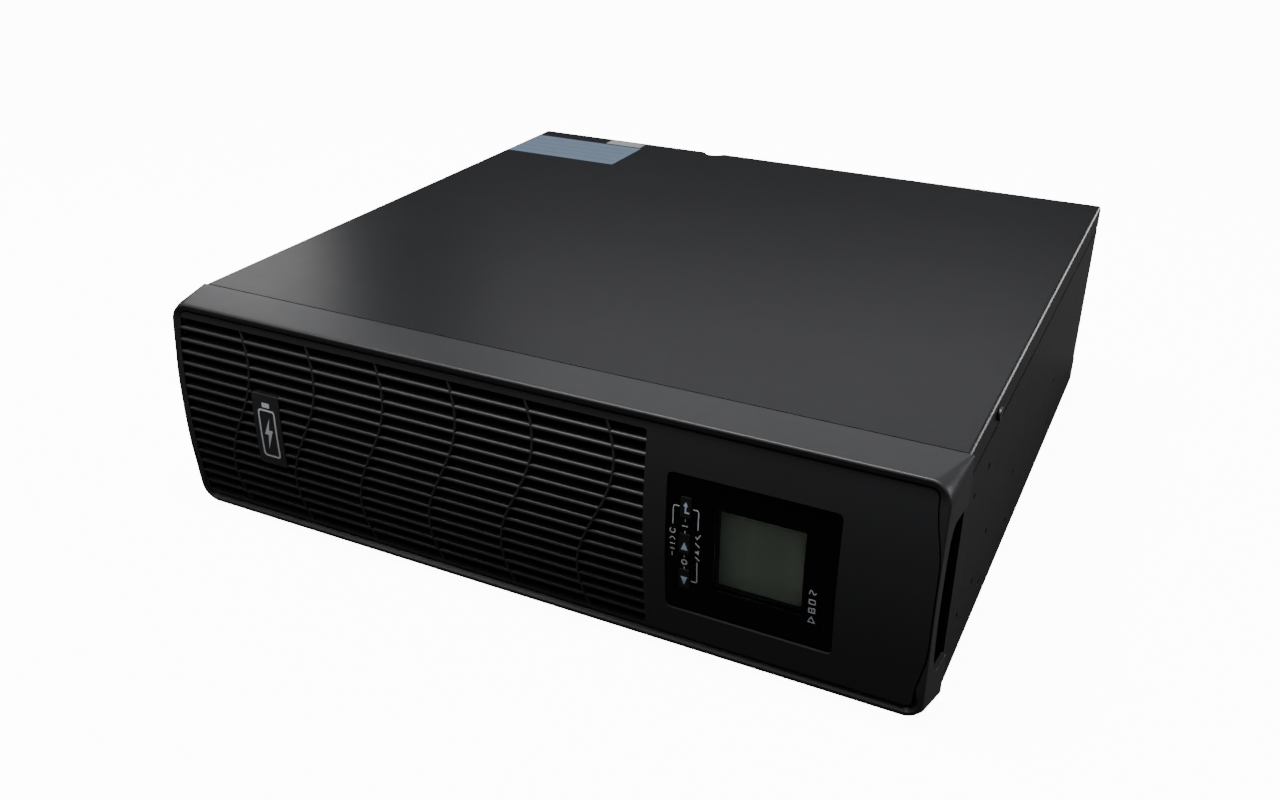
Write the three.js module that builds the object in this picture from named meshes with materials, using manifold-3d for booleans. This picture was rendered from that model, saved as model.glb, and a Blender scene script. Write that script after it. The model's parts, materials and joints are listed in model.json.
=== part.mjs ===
// A rack or tower uninterruptible power supply, three rack units high: a black steel case with a
// moulded front bezel, a louvred grille, a display with three keys, and fans and sockets behind.
// Millimetres. +Z is up and the front faces -Y. Inside the unit group, y = 0 is the seam between
// the plastic bezel and the steel case, and z = 0 is the underside of the case.
import * as THREE from "three";
import { mergeVertices } from "three/addons/utils/BufferGeometryUtils.js";
import Module from "manifold-3d";

const wasm = await Module();
wasm.setup();

// ---- Driving dimensions ----
const CASE_W = 438; // 19-inch rack case, without its ears
const CASE_H = 132; // three rack units less the usual clearance
const CASE_D = 386; // seam to the cover's rear edge
const REAR_LIP = 4; // the base reaches this far behind the cover
const BEZEL_D = 32; // seam to the crown of the front
const SHEET = 1.2; // steel sheet
const GAP = 0.35; // clearance between touching pieces
const HALF_W = CASE_W / 2;
const ORIGIN_Y = -(CASE_D + REAR_LIP - BEZEL_D) / 2; // puts the origin under the middle of the whole

// Bezel
const BEZEL_HALF_REAR = 220.5; // a little prouder than the case
const BEZEL_HALF_FRONT = 218.3; // the sides taper inwards
const BEZEL_Z_REAR = [0.6, 132];
const BEZEL_Z_FRONT = [4, 131];
const BEZEL_CORNER_REAR = 1.5;
const BEZEL_CORNER_FRONT = 11;
const BEZEL_WALL = 2.5;
const RIM_EDGE_Y = -27.6;
const RIM_MID_Y = -31.8;
const BEZEL_THROUGH = [-215.5, 209, 10.6, 124.2]; // opening behind the front panel
const HOOK_XS = [-190, -60, 80, 190];
const HOOK_ZS = [8, 122];
const HOOK_W = 10;

// Front panel, crowned in side view
const PANEL_Z = [10.3, 126.3];
const PANEL_EDGE_Y = -27.2;
const PANEL_MID_Y = -BEZEL_D;
const PANEL_T = 3;
const CROWN_Z = (PANEL_Z[0] + PANEL_Z[1]) / 2;
const PANEL_CORNER_X = 212.6; // half width at the corners
const PANEL_WIDE_X = 218.7; // half width at mid-height
const PANEL_FLARE_Z = [88, 105];
const PANEL_ROUND = 4;

// Grille
const GRILLE_X = [-213.5, 76.5];
const GRILLE_Z = [12.5, 122.8];
const SLATS = 16;
const SLAT_PITCH = 7;
const SLAT_TOP_Z = 117.6;
const RIBS = 6;
const RIB_PITCH = 45;
const RIB_FIRST_X = -175.5;
const RIB_W = 1.7;
const WEAVE = 10.5; // how far a rib swings to each side
const WEAVE_WAVE = 132;
const SLAT_T = 1.6;
const SLAT_DEPTH = 7;
const SLAT_CLIMB = 1.4; // a blade's rise from front to back
const RIB_DEPTH = 5;
const POCKET_X = [-210.5, -199.5]; // walls behind the left finger opening
const POCKET_WALL = 1.4;
const BADGE_X = [-164.5, -145.5];
const BADGE_Z = [45, 89];
const BADGE_T = 1.6;

// Display
const DISPLAY_X = [88.5, 173.5];
const DISPLAY_Z = [28, 105];
const DISPLAY_SINK = 1.3; // the display's face lies this far behind the panel's
const WINDOW_X = [113, 157.5];
const WINDOW_Z = [45.5, 90.5];
const KEY_X = 98.2;
const KEY_ZS = { key_enter: 87.6, key_up: 67.8, key_down: 47.6 };
const KEY_SIZE = [5.6, 11];
const LED_X = 168.5;
const LED_ZS = [61, 55.2, 49.4, 43.6];
const LED_SIZE = [3.6, 3];
const DISPLAY_BACK = -14;
const CAVITY_Y = -26.6; // front end of the hollow behind the display's face
const LCD_Y = [CAVITY_Y + 0.4, CAVITY_Y + 2.4];
const LCD_X = [108, 162.5];
const LCD_Z = [40.5, 95.5];
const DISPLAY_BOARD_Y = [-17.5, -15.9];

// Steel case
const JOGGLE_Z = 116.5; // above this the side walls step in, under the cover's flange
const FLANGE_Z = 118;
const COVER_ROUND = 2.2;
const CASE_FRONT = 0.4; // the steel starts this far behind the seam
const ACROSS = [-HALF_W - 1, HALF_W + 1]; // through both side walls
const STEP_HALF = HALF_W - SHEET - 0.3; // outside of the stepped-in wall
const INNER_HALF = STEP_HALF - SHEET - GAP - 0.2; // half width of the panels between the walls
const SIDE_HOLES = [[22.5, 98], [54, 98], [22.5, 31], [54, 31], [77, 47.5], [77, 16],
  [145, 47.5], [145, 16], [276, 47.5], [276, 16]];
const SIDE_HOLE_R = 2.1;
const COVER_SCREW = [57, 125];
const BULKHEAD_Y = 3;
const DOOR_Y = 1.3;
const DOOR = [-206, 62, 14, 120];
const DOOR_SCREW_XS = [DOOR[0] + 3.2, DOOR[1] - 3.2];
const DOOR_SCREW_Z = 67;

// Rear
const REAR_Y = 379; // outer face of the rear panel
const FANS = { fan_left: [-168, 68], fan_right: [-80, 68] };
const FAN_SIZE = 80;
const FAN_DEPTH = 25;
const FAN_SCREW = 35.75; // screw holes' offset from a fan's axis
const FAN_BORE_R = 37.5;
const FAN_HUB_R = 16;
const FAN_TIP_R = 34.5;
const FAN_HOLE_R = 38;
const GUARD_RS = [9, 17, 25, 33];
const OUTLET_XS = [-18, 12, 42, 72];
const OUTLET_ZS = { outlet_bank_upper: 96, outlet_bank_lower: 58 };
const BANK_X = [OUTLET_XS[0] - 15, OUTLET_XS[3] + 15];
const BANK_HALF_H = 12;
const IEC_SIZE = [24.4, 16.6]; // an IEC 60320 socket's shroud
const IEC_CORE = [19.6, 11.8];
const IEC_PINS = [[-7, -1.5], [0, 2.2], [7, -1.5]];
const SOCKET_FACE_Y = REAR_Y + 2;
const INLET = [120, 96];
const BREAKER = [120, 58];
const USB = [163, 100];
const SERIAL = [185, 78];
const JACKS = [184, 100];
const EPO = [158, 78];
const BATTERY_PLUG = [28, 22];
const BATTERY_WELL_DX = [-8.5, 8.5];
const SLOT_COVER = [145, 32];
const SLOT_SCREW_DX = 44;
const GROUND = [78, 20];

// Inside
const BATTERY = { w: 65, l: 151, h: 94 };
const BATTERIES = 4;
const BATTERY_PITCH = 66.5;
const BATTERY_FIRST_X = -170;
const BATTERY_Y = 10;
const TRAY_Z = [2, 46];
const BATTERY_Z = TRAY_Z[0] + SHEET + GAP;
const STRAP_Y = [60, 84];
const BOARD_Z = [10, 11.6];
const CORE_X = [96, 186];
const CORE_Y = [36, 122];

// ---- Materials ----
const material = (color, roughness, metalness = 0) =>
  new THREE.MeshStandardMaterial({ color, roughness, metalness });
const PAINTED_STEEL = material(0x1d1f22, 0.45, 0.3);
const BLACK_PLASTIC = material(0x17181a, 0.5);
const GLOSS_PLASTIC = material(0x050506, 0.12);
const KEY_PLASTIC = material(0x202226, 0.4);
const LCD = material(0x6f7a70, 0.3);
const CLEAR = material(0xbfc6c4, 0.05);
const BOARD_GREEN = material(0x1f4a2c, 0.5);
const BARE_STEEL = material(0xb8babd, 0.35, 0.9);
const ALUMINIUM = material(0xa8abb0, 0.4, 0.9);
const COPPER = material(0xb4663a, 0.35, 0.9);
const BATTERY_CASE = material(0x3a3d42, 0.55);
const BLUE_SLEEVE = material(0x1c2f57, 0.4);
const GREEN_TERMINAL = material(0x2d7a45, 0.5);

// ---- Solids ----
function solid(geometry) {
  const bare = geometry.index ? geometry.toNonIndexed() : geometry.clone();
  bare.deleteAttribute("normal");
  bare.deleteAttribute("uv");
  const merged = mergeVertices(bare, 1e-4);
  return new wasm.Manifold(
    new wasm.Mesh({
      numProp: 3,
      vertProperties: merged.attributes.position.array,
      triVerts: new Uint32Array(merged.index.array),
    }),
  );
}

function geometryOf(manifold) {
  const mesh = manifold.getMesh();
  const positions = new Float32Array(mesh.numVert * 3);
  for (let i = 0; i < mesh.numVert; i++) {
    positions.set(mesh.vertProperties.subarray(i * mesh.numProp, i * mesh.numProp + 3), i * 3);
  }
  const geometry = new THREE.BufferGeometry();
  geometry.setAttribute("position", new THREE.BufferAttribute(positions, 3));
  geometry.setIndex(new THREE.BufferAttribute(new Uint32Array(mesh.triVerts), 1));
  const flat = geometry.toNonIndexed();
  flat.computeVertexNormals();
  return flat;
}

const join = (...solids) => solids.reduce((a, b) => a.add(b));
const cut = (body, ...tools) => tools.reduce((a, b) => a.subtract(b), body);

function boxGeometry([x0, x1], [y0, y1], [z0, z1]) {
  const g = new THREE.BoxGeometry(x1 - x0, y1 - y0, z1 - z0);
  return g.translate((x0 + x1) / 2, (y0 + y1) / 2, (z0 + z1) / 2);
}
const box = (x, y, z) => solid(boxGeometry(x, y, z));

function extrude(shape, depth, curveSegments = 6) {
  return new THREE.ExtrudeGeometry(shape, { depth, bevelEnabled: false, curveSegments });
}
// An outline drawn in x and z, as seen from the front, with its thickness along Y.
function facing(shape, [y0, y1], curveSegments) {
  return solid(extrude(shape, y1 - y0, curveSegments).rotateX(Math.PI / 2).translate(0, y1, 0));
}
// An outline drawn in y and z, as seen from the right, with its thickness along X.
function sideways(shape, [x0, x1], curveSegments) {
  const turn = new THREE.Matrix4().makeBasis(
    new THREE.Vector3(0, 1, 0),
    new THREE.Vector3(0, 0, 1),
    new THREE.Vector3(1, 0, 0),
  );
  return solid(extrude(shape, x1 - x0, curveSegments).applyMatrix4(turn).translate(x0, 0, 0));
}
// An outline drawn in x and y, as seen from above, with its thickness along Z.
function lying(shape, [z0, z1], curveSegments) {
  return solid(extrude(shape, z1 - z0, curveSegments).translate(0, 0, z0));
}

function rectangle(x0, x1, z0, z1, r = 0) {
  const s = new THREE.Shape();
  if (r === 0) {
    return s.moveTo(x0, z0).lineTo(x1, z0).lineTo(x1, z1).lineTo(x0, z1).closePath();
  }
  s.moveTo(x0 + r, z0).lineTo(x1 - r, z0).absarc(x1 - r, z0 + r, r, -Math.PI / 2, 0);
  s.lineTo(x1, z1 - r).absarc(x1 - r, z1 - r, r, 0, Math.PI / 2);
  s.lineTo(x0 + r, z1).absarc(x0 + r, z1 - r, r, Math.PI / 2, Math.PI);
  s.lineTo(x0, z0 + r).absarc(x0 + r, z0 + r, r, Math.PI, 1.5 * Math.PI);
  return s;
}
const inset = ([a, b], by) => [a + by, b - by];
const centred = ([x, z], w, h, r = 0) => rectangle(x - w / 2, x + w / 2, z - h / 2, z + h / 2, r);

function rodY([x, z], radius, [y0, y1], sides = 16) {
  const g = new THREE.CylinderGeometry(radius, radius, y1 - y0, sides);
  return solid(g.translate(x, (y0 + y1) / 2, z));
}
function rodX([y, z], radius, [x0, x1], sides = 12) {
  const g = new THREE.CylinderGeometry(radius, radius, x1 - x0, sides).rotateZ(Math.PI / 2);
  return solid(g.translate((x0 + x1) / 2, y, z));
}
function rodZ([x, y], radius, [z0, z1], sides = 12) {
  const g = new THREE.CylinderGeometry(radius, radius, z1 - z0, sides).rotateX(Math.PI / 2);
  return solid(g.translate(x, y, (z0 + z1) / 2));
}

const unit = new THREE.Group();
unit.position.y = ORIGIN_Y;
function piece(name, manifold, look) {
  const mesh = new THREE.Mesh(geometryOf(manifold), look);
  mesh.name = name;
  unit.add(mesh);
}

// ---- Crowned surfaces ----
// y of an arc that passes edgeY at z = mid +- half, and midY in between.
function crown(z, mid, half, edgeY, midY) {
  const sag = edgeY - midY;
  const radius = (half * half + sag * sag) / (2 * sag);
  return midY + radius - Math.sqrt(radius * radius - (z - mid) ** 2);
}
const panelY = (z) => crown(z, CROWN_Z, CROWN_Z - PANEL_Z[0], PANEL_EDGE_Y, PANEL_MID_Y);
const behind = (depth) => (z) => panelY(z) + depth;
const rimMid = (BEZEL_Z_FRONT[0] + BEZEL_Z_FRONT[1]) / 2;
const rimY = (z) => crown(z, rimMid, rimMid - BEZEL_Z_FRONT[0], RIM_EDGE_Y, RIM_MID_Y);

// Everything between two y(z) curves, the full width of the bezel.
function slab(frontAt, backAt, [z0, z1], steps, [x0, x1] = [-230, 230]) {
  const zs = Array.from({ length: steps + 1 }, (_, i) => z0 + ((z1 - z0) * i) / steps);
  const s = new THREE.Shape();
  zs.forEach((z, i) => (i ? s.lineTo(frontAt(z), z) : s.moveTo(frontAt(z), z)));
  zs.reverse().forEach((z) => s.lineTo(backAt(z), z));
  return sideways(s, [x0, x1]);
}
// Lays a flat piece, whose y is its depth behind the surface, on the crown.
function crowned(geometry) {
  const p = geometry.attributes.position;
  for (let i = 0; i < p.count; i++) p.setY(i, p.getY(i) + panelY(p.getZ(i)));
  return geometry;
}

// ---- Bezel frame ----
function cornerContour(half, [z0, z1], r) {
  const steps = 5;
  const centres = [[half - r, z1 - r], [r - half, z1 - r], [r - half, z0 + r], [half - r, z0 + r]];
  return centres.flatMap(([x, z], quarter) =>
    Array.from({ length: steps + 1 }, (_, i) => {
      const a = (quarter + i / steps) * (Math.PI / 2);
      return new THREE.Vector2(x + r * Math.cos(a), z + r * Math.sin(a));
    }),
  );
}
// A hull that blends from square corners at the seam to round ones in front, inset by a wall.
function bezelHull(inset, rearY, frontY) {
  const taper = (y) => Math.min(1, Math.max(0, -y / BEZEL_D));
  const at = (y) => {
    const k = taper(y);
    const mix = (a, b) => a + (b - a) * k;
    const half = mix(BEZEL_HALF_REAR, BEZEL_HALF_FRONT) - inset;
    const z0 = mix(BEZEL_Z_REAR[0], BEZEL_Z_FRONT[0]) + inset;
    const z1 = mix(BEZEL_Z_REAR[1], BEZEL_Z_FRONT[1]) - inset;
    const r = Math.max(0.5, mix(BEZEL_CORNER_REAR, BEZEL_CORNER_FRONT) - inset);
    return cornerContour(half, [z0, z1], r);
  };
  const rear = at(rearY);
  const front = at(frontY);
  const g = extrude(new THREE.Shape(front), 1);
  const p = g.attributes.position;
  for (let i = 0; i < p.count; i++) {
    const k = front.findIndex((c) => Math.hypot(c.x - p.getX(i), c.y - p.getY(i)) < 1e-4);
    const isRear = p.getZ(i) < 0.5;
    const c = isRear ? rear[k] : front[k];
    p.setXYZ(i, c.x, isRear ? rearY : frontY, c.y);
  }
  return solid(g);
}

// The panel's outline: inset at its corners, and flaring to the bezel's full width at mid-height.
function panelOutline(grow) {
  const [z0, z1] = [PANEL_Z[0] - grow, PANEL_Z[1] + grow];
  const xCorner = PANEL_CORNER_X + grow;
  const r = PANEL_ROUND;
  const right = new THREE.Path();
  right.moveTo(xCorner - r, z1).absarc(xCorner - r, z1 - r, r, Math.PI / 2, 0, true);
  right.quadraticCurveTo(xCorner + 3.2, PANEL_FLARE_Z[1], PANEL_WIDE_X + grow, PANEL_FLARE_Z[0]);
  const upper = right.getPoints(4);
  const side = [...upper, ...upper.map((p) => new THREE.Vector2(p.x, z0 + z1 - p.y)).reverse()];
  return new THREE.Shape([...side, ...side.map((p) => new THREE.Vector2(-p.x, p.y)).reverse()]);
}

// Finger opening in the bezel's side: open at the seam, bowed in front.
function sideGrip() {
  const s = new THREE.Shape();
  s.moveTo(2, 25).lineTo(-11, 25).quadraticCurveTo(-20, 26, -23, 38);
  s.quadraticCurveTo(-26, 66, -23, 97).quadraticCurveTo(-21, 107, -15, 107).lineTo(2, 107);
  return s;
}

function bezelFrame() {
  const outer = bezelHull(0, 0, -34).intersect(slab(rimY, () => 0, [-5, 140], 16));
  const hollow = bezelHull(BEZEL_WALL, 1, -21);
  const rebate = facing(panelOutline(GAP), [-40, -20], 6).intersect(
    slab(() => -40, behind(PANEL_T + GAP), [0, CASE_H], 16),
  );
  const through = facing(rectangle(...BEZEL_THROUGH), [-40, 1]);
  const grips = sideways(sideGrip(), [-230, 230], 4);
  const hooks = HOOK_XS.flatMap((x) =>
    HOOK_ZS.map((z) => {
      const height = z < CROWN_Z ? [z - 4.5, z - 2.5] : [z + 3, z + 5];
      return box([x - HOOK_W / 2, x + HOOK_W / 2], [-22, 6.8], height);
    }),
  );
  return join(cut(outer, hollow, rebate, through, grips), ...hooks);
}
piece("bezel_frame", bezelFrame(), BLACK_PLASTIC);

// ---- Front panel with its grille ----
// How far a rib stands to the right of its middle line at height z.
const weave = (z) => WEAVE * Math.sin((2 * Math.PI * (z - CROWN_Z)) / WEAVE_WAVE);
const slatZ = (i) => SLAT_TOP_Z - i * SLAT_PITCH;

// A louvre blade: a thin front edge, rising towards the back.
function slat(i) {
  const z = slatZ(i);
  const g = boxGeometry([GRILLE_X[0] - 1, GRILLE_X[1] + 1], [0, SLAT_DEPTH], [z - SLAT_T, z]);
  const p = g.attributes.position;
  for (let k = 0; k < p.count; k++) {
    if (p.getY(k) > 1) p.setZ(k, p.getZ(k) + SLAT_CLIMB);
  }
  return solid(g.translate(0, panelY(z), 0));
}
// One stretch of a rib, from blade to blade.
function ribLink(x, z0, z1) {
  const s = new THREE.Shape();
  const [low, high] = [x + weave(z0), x + weave(z1)];
  s.moveTo(low - RIB_W / 2, z0).lineTo(low + RIB_W / 2, z0);
  s.lineTo(high + RIB_W / 2, z1).lineTo(high - RIB_W / 2, z1);
  return solid(crowned(extrude(s, RIB_DEPTH).rotateX(Math.PI / 2).translate(0, RIB_DEPTH + 0.1, 0)));
}
function frontPanel() {
  const plate = facing(panelOutline(0), [-40, -15], 6)
    .intersect(slab(panelY, behind(PANEL_T), PANEL_Z, 16))
    .intersect(bezelHull(0, 0, -36));
  const opening = facing(rectangle(...GRILLE_X, ...GRILLE_Z), [-40, -15]);
  const display = facing(rectangle(...DISPLAY_X, ...DISPLAY_Z, 3), [-40, -15], 3);
  let body = cut(plate, opening, display);
  const blades = Array.from({ length: SLATS }, (_, i) => slat(i));
  body = join(body, ...blades);
  for (let r = 0; r < RIBS; r++) {
    const x = RIB_FIRST_X + r * RIB_PITCH;
    for (let i = -1; i < SLATS; i++) {
      const high = i < 0 ? GRILLE_Z[1] + 1 : slatZ(i) - 0.6;
      const low = i === SLATS - 1 ? GRILLE_Z[0] - 1 : slatZ(i + 1) - 0.6;
      body = body.add(ribLink(x, low, high));
    }
  }
  const backPad = slab(behind(BADGE_T), behind(6), BADGE_Z, 4, BADGE_X);
  const badgeSeat = slab(behind(-5), behind(BADGE_T), inset(BADGE_Z, -GAP), 4, inset(BADGE_X, -GAP));
  // The finger opening's pocket: a wall behind the blades, and one that closes its inner side.
  const pocketFront = slab(behind(5.5), behind(9), GRILLE_Z, 6, POCKET_X);
  const pocketSide = [POCKET_X[1] - POCKET_WALL, POCKET_X[1]];
  const pocketWall = slab(behind(6), () => -2, GRILLE_Z, 6, pocketSide);
  const pocketFeet = [GRILLE_Z[0] - 1, GRILLE_Z[1] - 2].map((z) =>
    slab(behind(1), behind(9), [z, z + 3], 1, POCKET_X),
  );
  return join(cut(body, badgeSeat), backPad, pocketFront, pocketWall, ...pocketFeet);
}
piece("front_panel", frontPanel(), BLACK_PLASTIC);

piece(
  "badge_plate",
  slab(panelY, behind(BADGE_T - GAP), BADGE_Z, 4, BADGE_X),
  BLACK_PLASTIC,
);

// ---- Display ----
const faceY = behind(DISPLAY_SINK);
function displayHousing() {
  const outline = rectangle(...inset(DISPLAY_X, GAP), ...inset(DISPLAY_Z, GAP), 2.7);
  const block = facing(outline, [-40, DISPLAY_BACK], 3).intersect(
    slab(faceY, () => DISPLAY_BACK, [20, 115], 12),
  );
  const hollow = rectangle(...inset(DISPLAY_X, 2.5), ...inset(DISPLAY_Z, 2.5));
  const inner = facing(hollow, [CAVITY_Y, DISPLAY_BACK + 1]);
  const window = facing(rectangle(...WINDOW_X, ...WINDOW_Z), [-40, -20]);
  const keyHoles = Object.values(KEY_ZS).map((z) =>
    facing(centred([KEY_X, z], KEY_SIZE[0] + 2 * GAP, KEY_SIZE[1] + 2 * GAP), [-40, -20]),
  );
  const leds = LED_ZS.map((z) => facing(centred([LED_X, z], ...LED_SIZE), [-40, -20]));
  return cut(block, inner, window, ...keyHoles, ...leds);
}
piece("display_housing", displayHousing(), GLOSS_PLASTIC);

piece(
  "display_lens",
  facing(rectangle(...inset(WINDOW_X, GAP), ...inset(WINDOW_Z, GAP)), [-40, -20]).intersect(
    slab(behind(DISPLAY_SINK + 0.2), behind(DISPLAY_SINK + 1.4), [40, 96], 6),
  ),
  CLEAR,
);
piece("lcd_glass", box(LCD_X, LCD_Y, LCD_Z), LCD);
piece("lcd_backlight", box(LCD_X, [LCD_Y[1] + GAP, -20.2], LCD_Z), CLEAR);
piece("display_board", box(inset(DISPLAY_X, 3), DISPLAY_BOARD_Y, inset(DISPLAY_Z, 3)), BOARD_GREEN);

function key(z) {
  const cap = facing(centred([KEY_X, z], ...KEY_SIZE, 0.6), [-40, -20], 2).intersect(
    slab(behind(DISPLAY_SINK - 0.4), () => -22, [z - 10, z + 10], 4),
  );
  const flange = facing(centred([KEY_X, z], KEY_SIZE[0] + 2, KEY_SIZE[1] + 2), [CAVITY_Y + 0.4, -22]);
  const stem = rodY([KEY_X, z], 1.5, [-23, DISPLAY_BOARD_Y[0] - 2.1], 8);
  return join(cap, flange, stem);
}
for (const [name, z] of Object.entries(KEY_ZS)) piece(name, key(z), KEY_PLASTIC);

piece(
  "key_switch_strip",
  box([KEY_X - 4, KEY_X + 4], [DISPLAY_BOARD_Y[0] - 1.2, DISPLAY_BOARD_Y[0] - GAP], [42, 93]),
  BLACK_PLASTIC,
);

function lightPipes() {
  const runner = box([LED_X - 1.5, LED_X + 1.5], [-24.5, -22.5], [LED_ZS[3] - 1.2, LED_ZS[0] + 1.2]);
  const fingers = LED_ZS.map((z) =>
    box([LED_X - 1.5, LED_X + 1.5], [faceY(z) + 0.3, -23], [z - 1.2, z + 1.2]),
  );
  return join(runner, ...fingers);
}
piece("status_light_pipe", lightPipes(), CLEAR);

// ---- Steel case ----
function baseTray() {
  const back = CASE_D + REAR_LIP;
  const run = [CASE_FRONT, CASE_D - 0.5];
  const floor = box([-HALF_W, HALF_W], [CASE_FRONT, back], [0, SHEET]);
  const walls = [-1, 1].flatMap((side) => {
    const outer = box([HALF_W - SHEET, HALF_W], run, [0, JOGGLE_Z]);
    const lip = box([HALF_W - SHEET, HALF_W], [CASE_D - 2, back], [0, 17]);
    const ledge = box([STEP_HALF - SHEET, HALF_W], run, [JOGGLE_Z - SHEET, JOGGLE_Z]);
    const upper = box([STEP_HALF - SHEET, STEP_HALF], run, [JOGGLE_Z - SHEET, CASE_H - SHEET - GAP]);
    const turn = box([HALF_W - 12, HALF_W], [CASE_FRONT, CASE_FRONT + SHEET], [0, JOGGLE_Z]);
    return [outer, lip, ledge, upper, turn].map((s) => (side > 0 ? s : s.mirror([1, 0, 0])));
  });
  const screwHole = rodX(COVER_SCREW, 1.6, ACROSS, 8);
  const holes = SIDE_HOLES.map((at) => rodX(at, SIDE_HOLE_R, ACROSS, 10));
  return cut(join(floor, ...walls), ...holes, screwHole);
}
piece("base_tray", baseTray(), PAINTED_STEEL);

function topCover() {
  const s = new THREE.Shape();
  const r = COVER_ROUND;
  s.moveTo(-HALF_W, FLANGE_Z).lineTo(-HALF_W, CASE_H - r);
  s.absarc(-HALF_W + r, CASE_H - r, r, Math.PI, Math.PI / 2, true).lineTo(HALF_W - r, CASE_H);
  s.absarc(HALF_W - r, CASE_H - r, r, Math.PI / 2, 0, true).lineTo(HALF_W, FLANGE_Z);
  s.lineTo(HALF_W - SHEET, FLANGE_Z).lineTo(HALF_W - SHEET, CASE_H - SHEET);
  s.lineTo(-HALF_W + SHEET, CASE_H - SHEET).lineTo(-HALF_W + SHEET, FLANGE_Z);
  const shell = facing(s, [CASE_FRONT, CASE_D], 3);
  const notch = new THREE.Shape();
  notch.moveTo(-78, CASE_D + 1).lineTo(-74, CASE_D - 4);
  notch.quadraticCurveTo(-69, CASE_D - 7, -64, CASE_D - 4);
  notch.lineTo(-60, CASE_D + 1);
  const bite = lying(notch, [CASE_H - 3, CASE_H + 1], 4);
  const screwHole = rodX(COVER_SCREW, 2.2, ACROSS, 10);
  return cut(shell, bite, screwHole);
}
piece("top_cover", topCover(), PAINTED_STEEL);

for (const [name, side] of [["cover_screw_left", -1], ["cover_screw_right", 1]]) {
  const [y, z] = COVER_SCREW;
  const head = rodX([y, z], 3.6, [HALF_W + GAP, HALF_W + 1.6], 12);
  const shank = rodX([y, z], 1.2, [HALF_W - 8, HALF_W + 1], 8);
  const drive = box([HALF_W + 0.9, HALF_W + 3], [y - 2.5, y + 2.5], [z - 0.4, z + 0.4]);
  const screw = cut(join(head, shank), drive);
  piece(name, side > 0 ? screw : screw.mirror([1, 0, 0]), BARE_STEEL);
}

// ---- Front bulkhead and battery door, behind the bezel ----
const THROUGH_FRONT = [0, 10]; // through the bulkhead and the battery door
// Rows of upright slots, as cutters.
function ventRows(x0, x1, zs, width, height, pitch) {
  const slots = [];
  for (let x = x0; x <= x1; x += pitch) {
    for (const z of zs) slots.push(facing(centred([x, z], width, height), THROUGH_FRONT));
  }
  return slots;
}
function bulkhead() {
  const plate = box([-INNER_HALF, INNER_HALF], [BULKHEAD_Y, BULKHEAD_Y + SHEET],
    [SHEET + GAP, CASE_H - SHEET - GAP]);
  const [x0, x1, z0, z1] = DOOR;
  const doorway = facing(rectangle(...inset([x0, x1], 6), ...inset([z0, z1], 6)), THROUGH_FRONT);
  const hooks = HOOK_XS.flatMap((x) =>
    HOOK_ZS.map((z) => {
      const height = z < CROWN_Z ? [z - 5.5, z - 1.5] : [z + 2, z + 6];
      return box([x - HOOK_W / 2 - 2, x + HOOK_W / 2 + 2], THROUGH_FRONT, height);
    }),
  );
  const socket = facing(rectangle(118, 146, 60, 68), THROUGH_FRONT);
  const vents = ventRows(82, 200, [32, 98], 4, 22, 9);
  return cut(plate, doorway, ...hooks, socket, ...vents);
}
piece("front_bulkhead", bulkhead(), PAINTED_STEEL);

function batteryDoor() {
  const plate = facing(rectangle(...DOOR, 3), [DOOR_Y, DOOR_Y + SHEET], 2);
  const vents = ventRows(-190, 50, [40, 94], 4, 34, 12);
  const screws = DOOR_SCREW_XS.map((x) => rodY([x, DOOR_SCREW_Z], 1.9, THROUGH_FRONT, 10));
  return cut(plate, ...vents, ...screws);
}
piece("battery_door", batteryDoor(), PAINTED_STEEL);
["battery_door_screw_left", "battery_door_screw_right"].forEach((name, i) => {
  const [x, z] = [DOOR_SCREW_XS[i], DOOR_SCREW_Z];
  const head = rodY([x, z], 3.1, [-1, DOOR_Y - GAP], 12);
  const shank = rodY([x, z], 1.4, [0, 2.7], 8);
  const drive = box([x - 2.2, x + 2.2], [-2, -0.4], [z - 0.4, z + 0.4]);
  piece(name, cut(join(head, shank), drive), BARE_STEEL);
});

// ---- Battery pack ----
const batteryX = (i) => BATTERY_FIRST_X + i * BATTERY_PITCH;
function batteryTray() {
  const x0 = batteryX(0) - BATTERY.w / 2 - 1;
  const x1 = batteryX(BATTERIES - 1) + BATTERY.w / 2 + 1;
  const y1 = BATTERY_Y + BATTERY.l + 1;
  const outer = box([x0 - SHEET, x1 + SHEET], [BATTERY_Y - 2 * SHEET, y1 + SHEET], TRAY_Z);
  const inner = box([x0, x1], [BATTERY_Y - SHEET, y1], [TRAY_Z[0] + SHEET, TRAY_Z[1] + 1]);
  return cut(outer, inner);
}
piece("battery_tray", batteryTray(), PAINTED_STEEL);

for (let i = 0; i < BATTERIES; i++) {
  const x = batteryX(i);
  const top = BATTERY_Z + BATTERY.h;
  const [y0, y1] = [BATTERY_Y, BATTERY_Y + BATTERY.l];
  const body = box([x - BATTERY.w / 2, x + BATTERY.w / 2], [y0, y1], [BATTERY_Z, top]);
  const tabs = [x - 22, x + 22].map((at) =>
    box([at - 3.2, at + 3.2], [y1 - 16, y1 - 15], [top - 1, top + 7]),
  );
  piece("battery_" + (i + 1), join(body, ...tabs), BATTERY_CASE);
}

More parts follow.
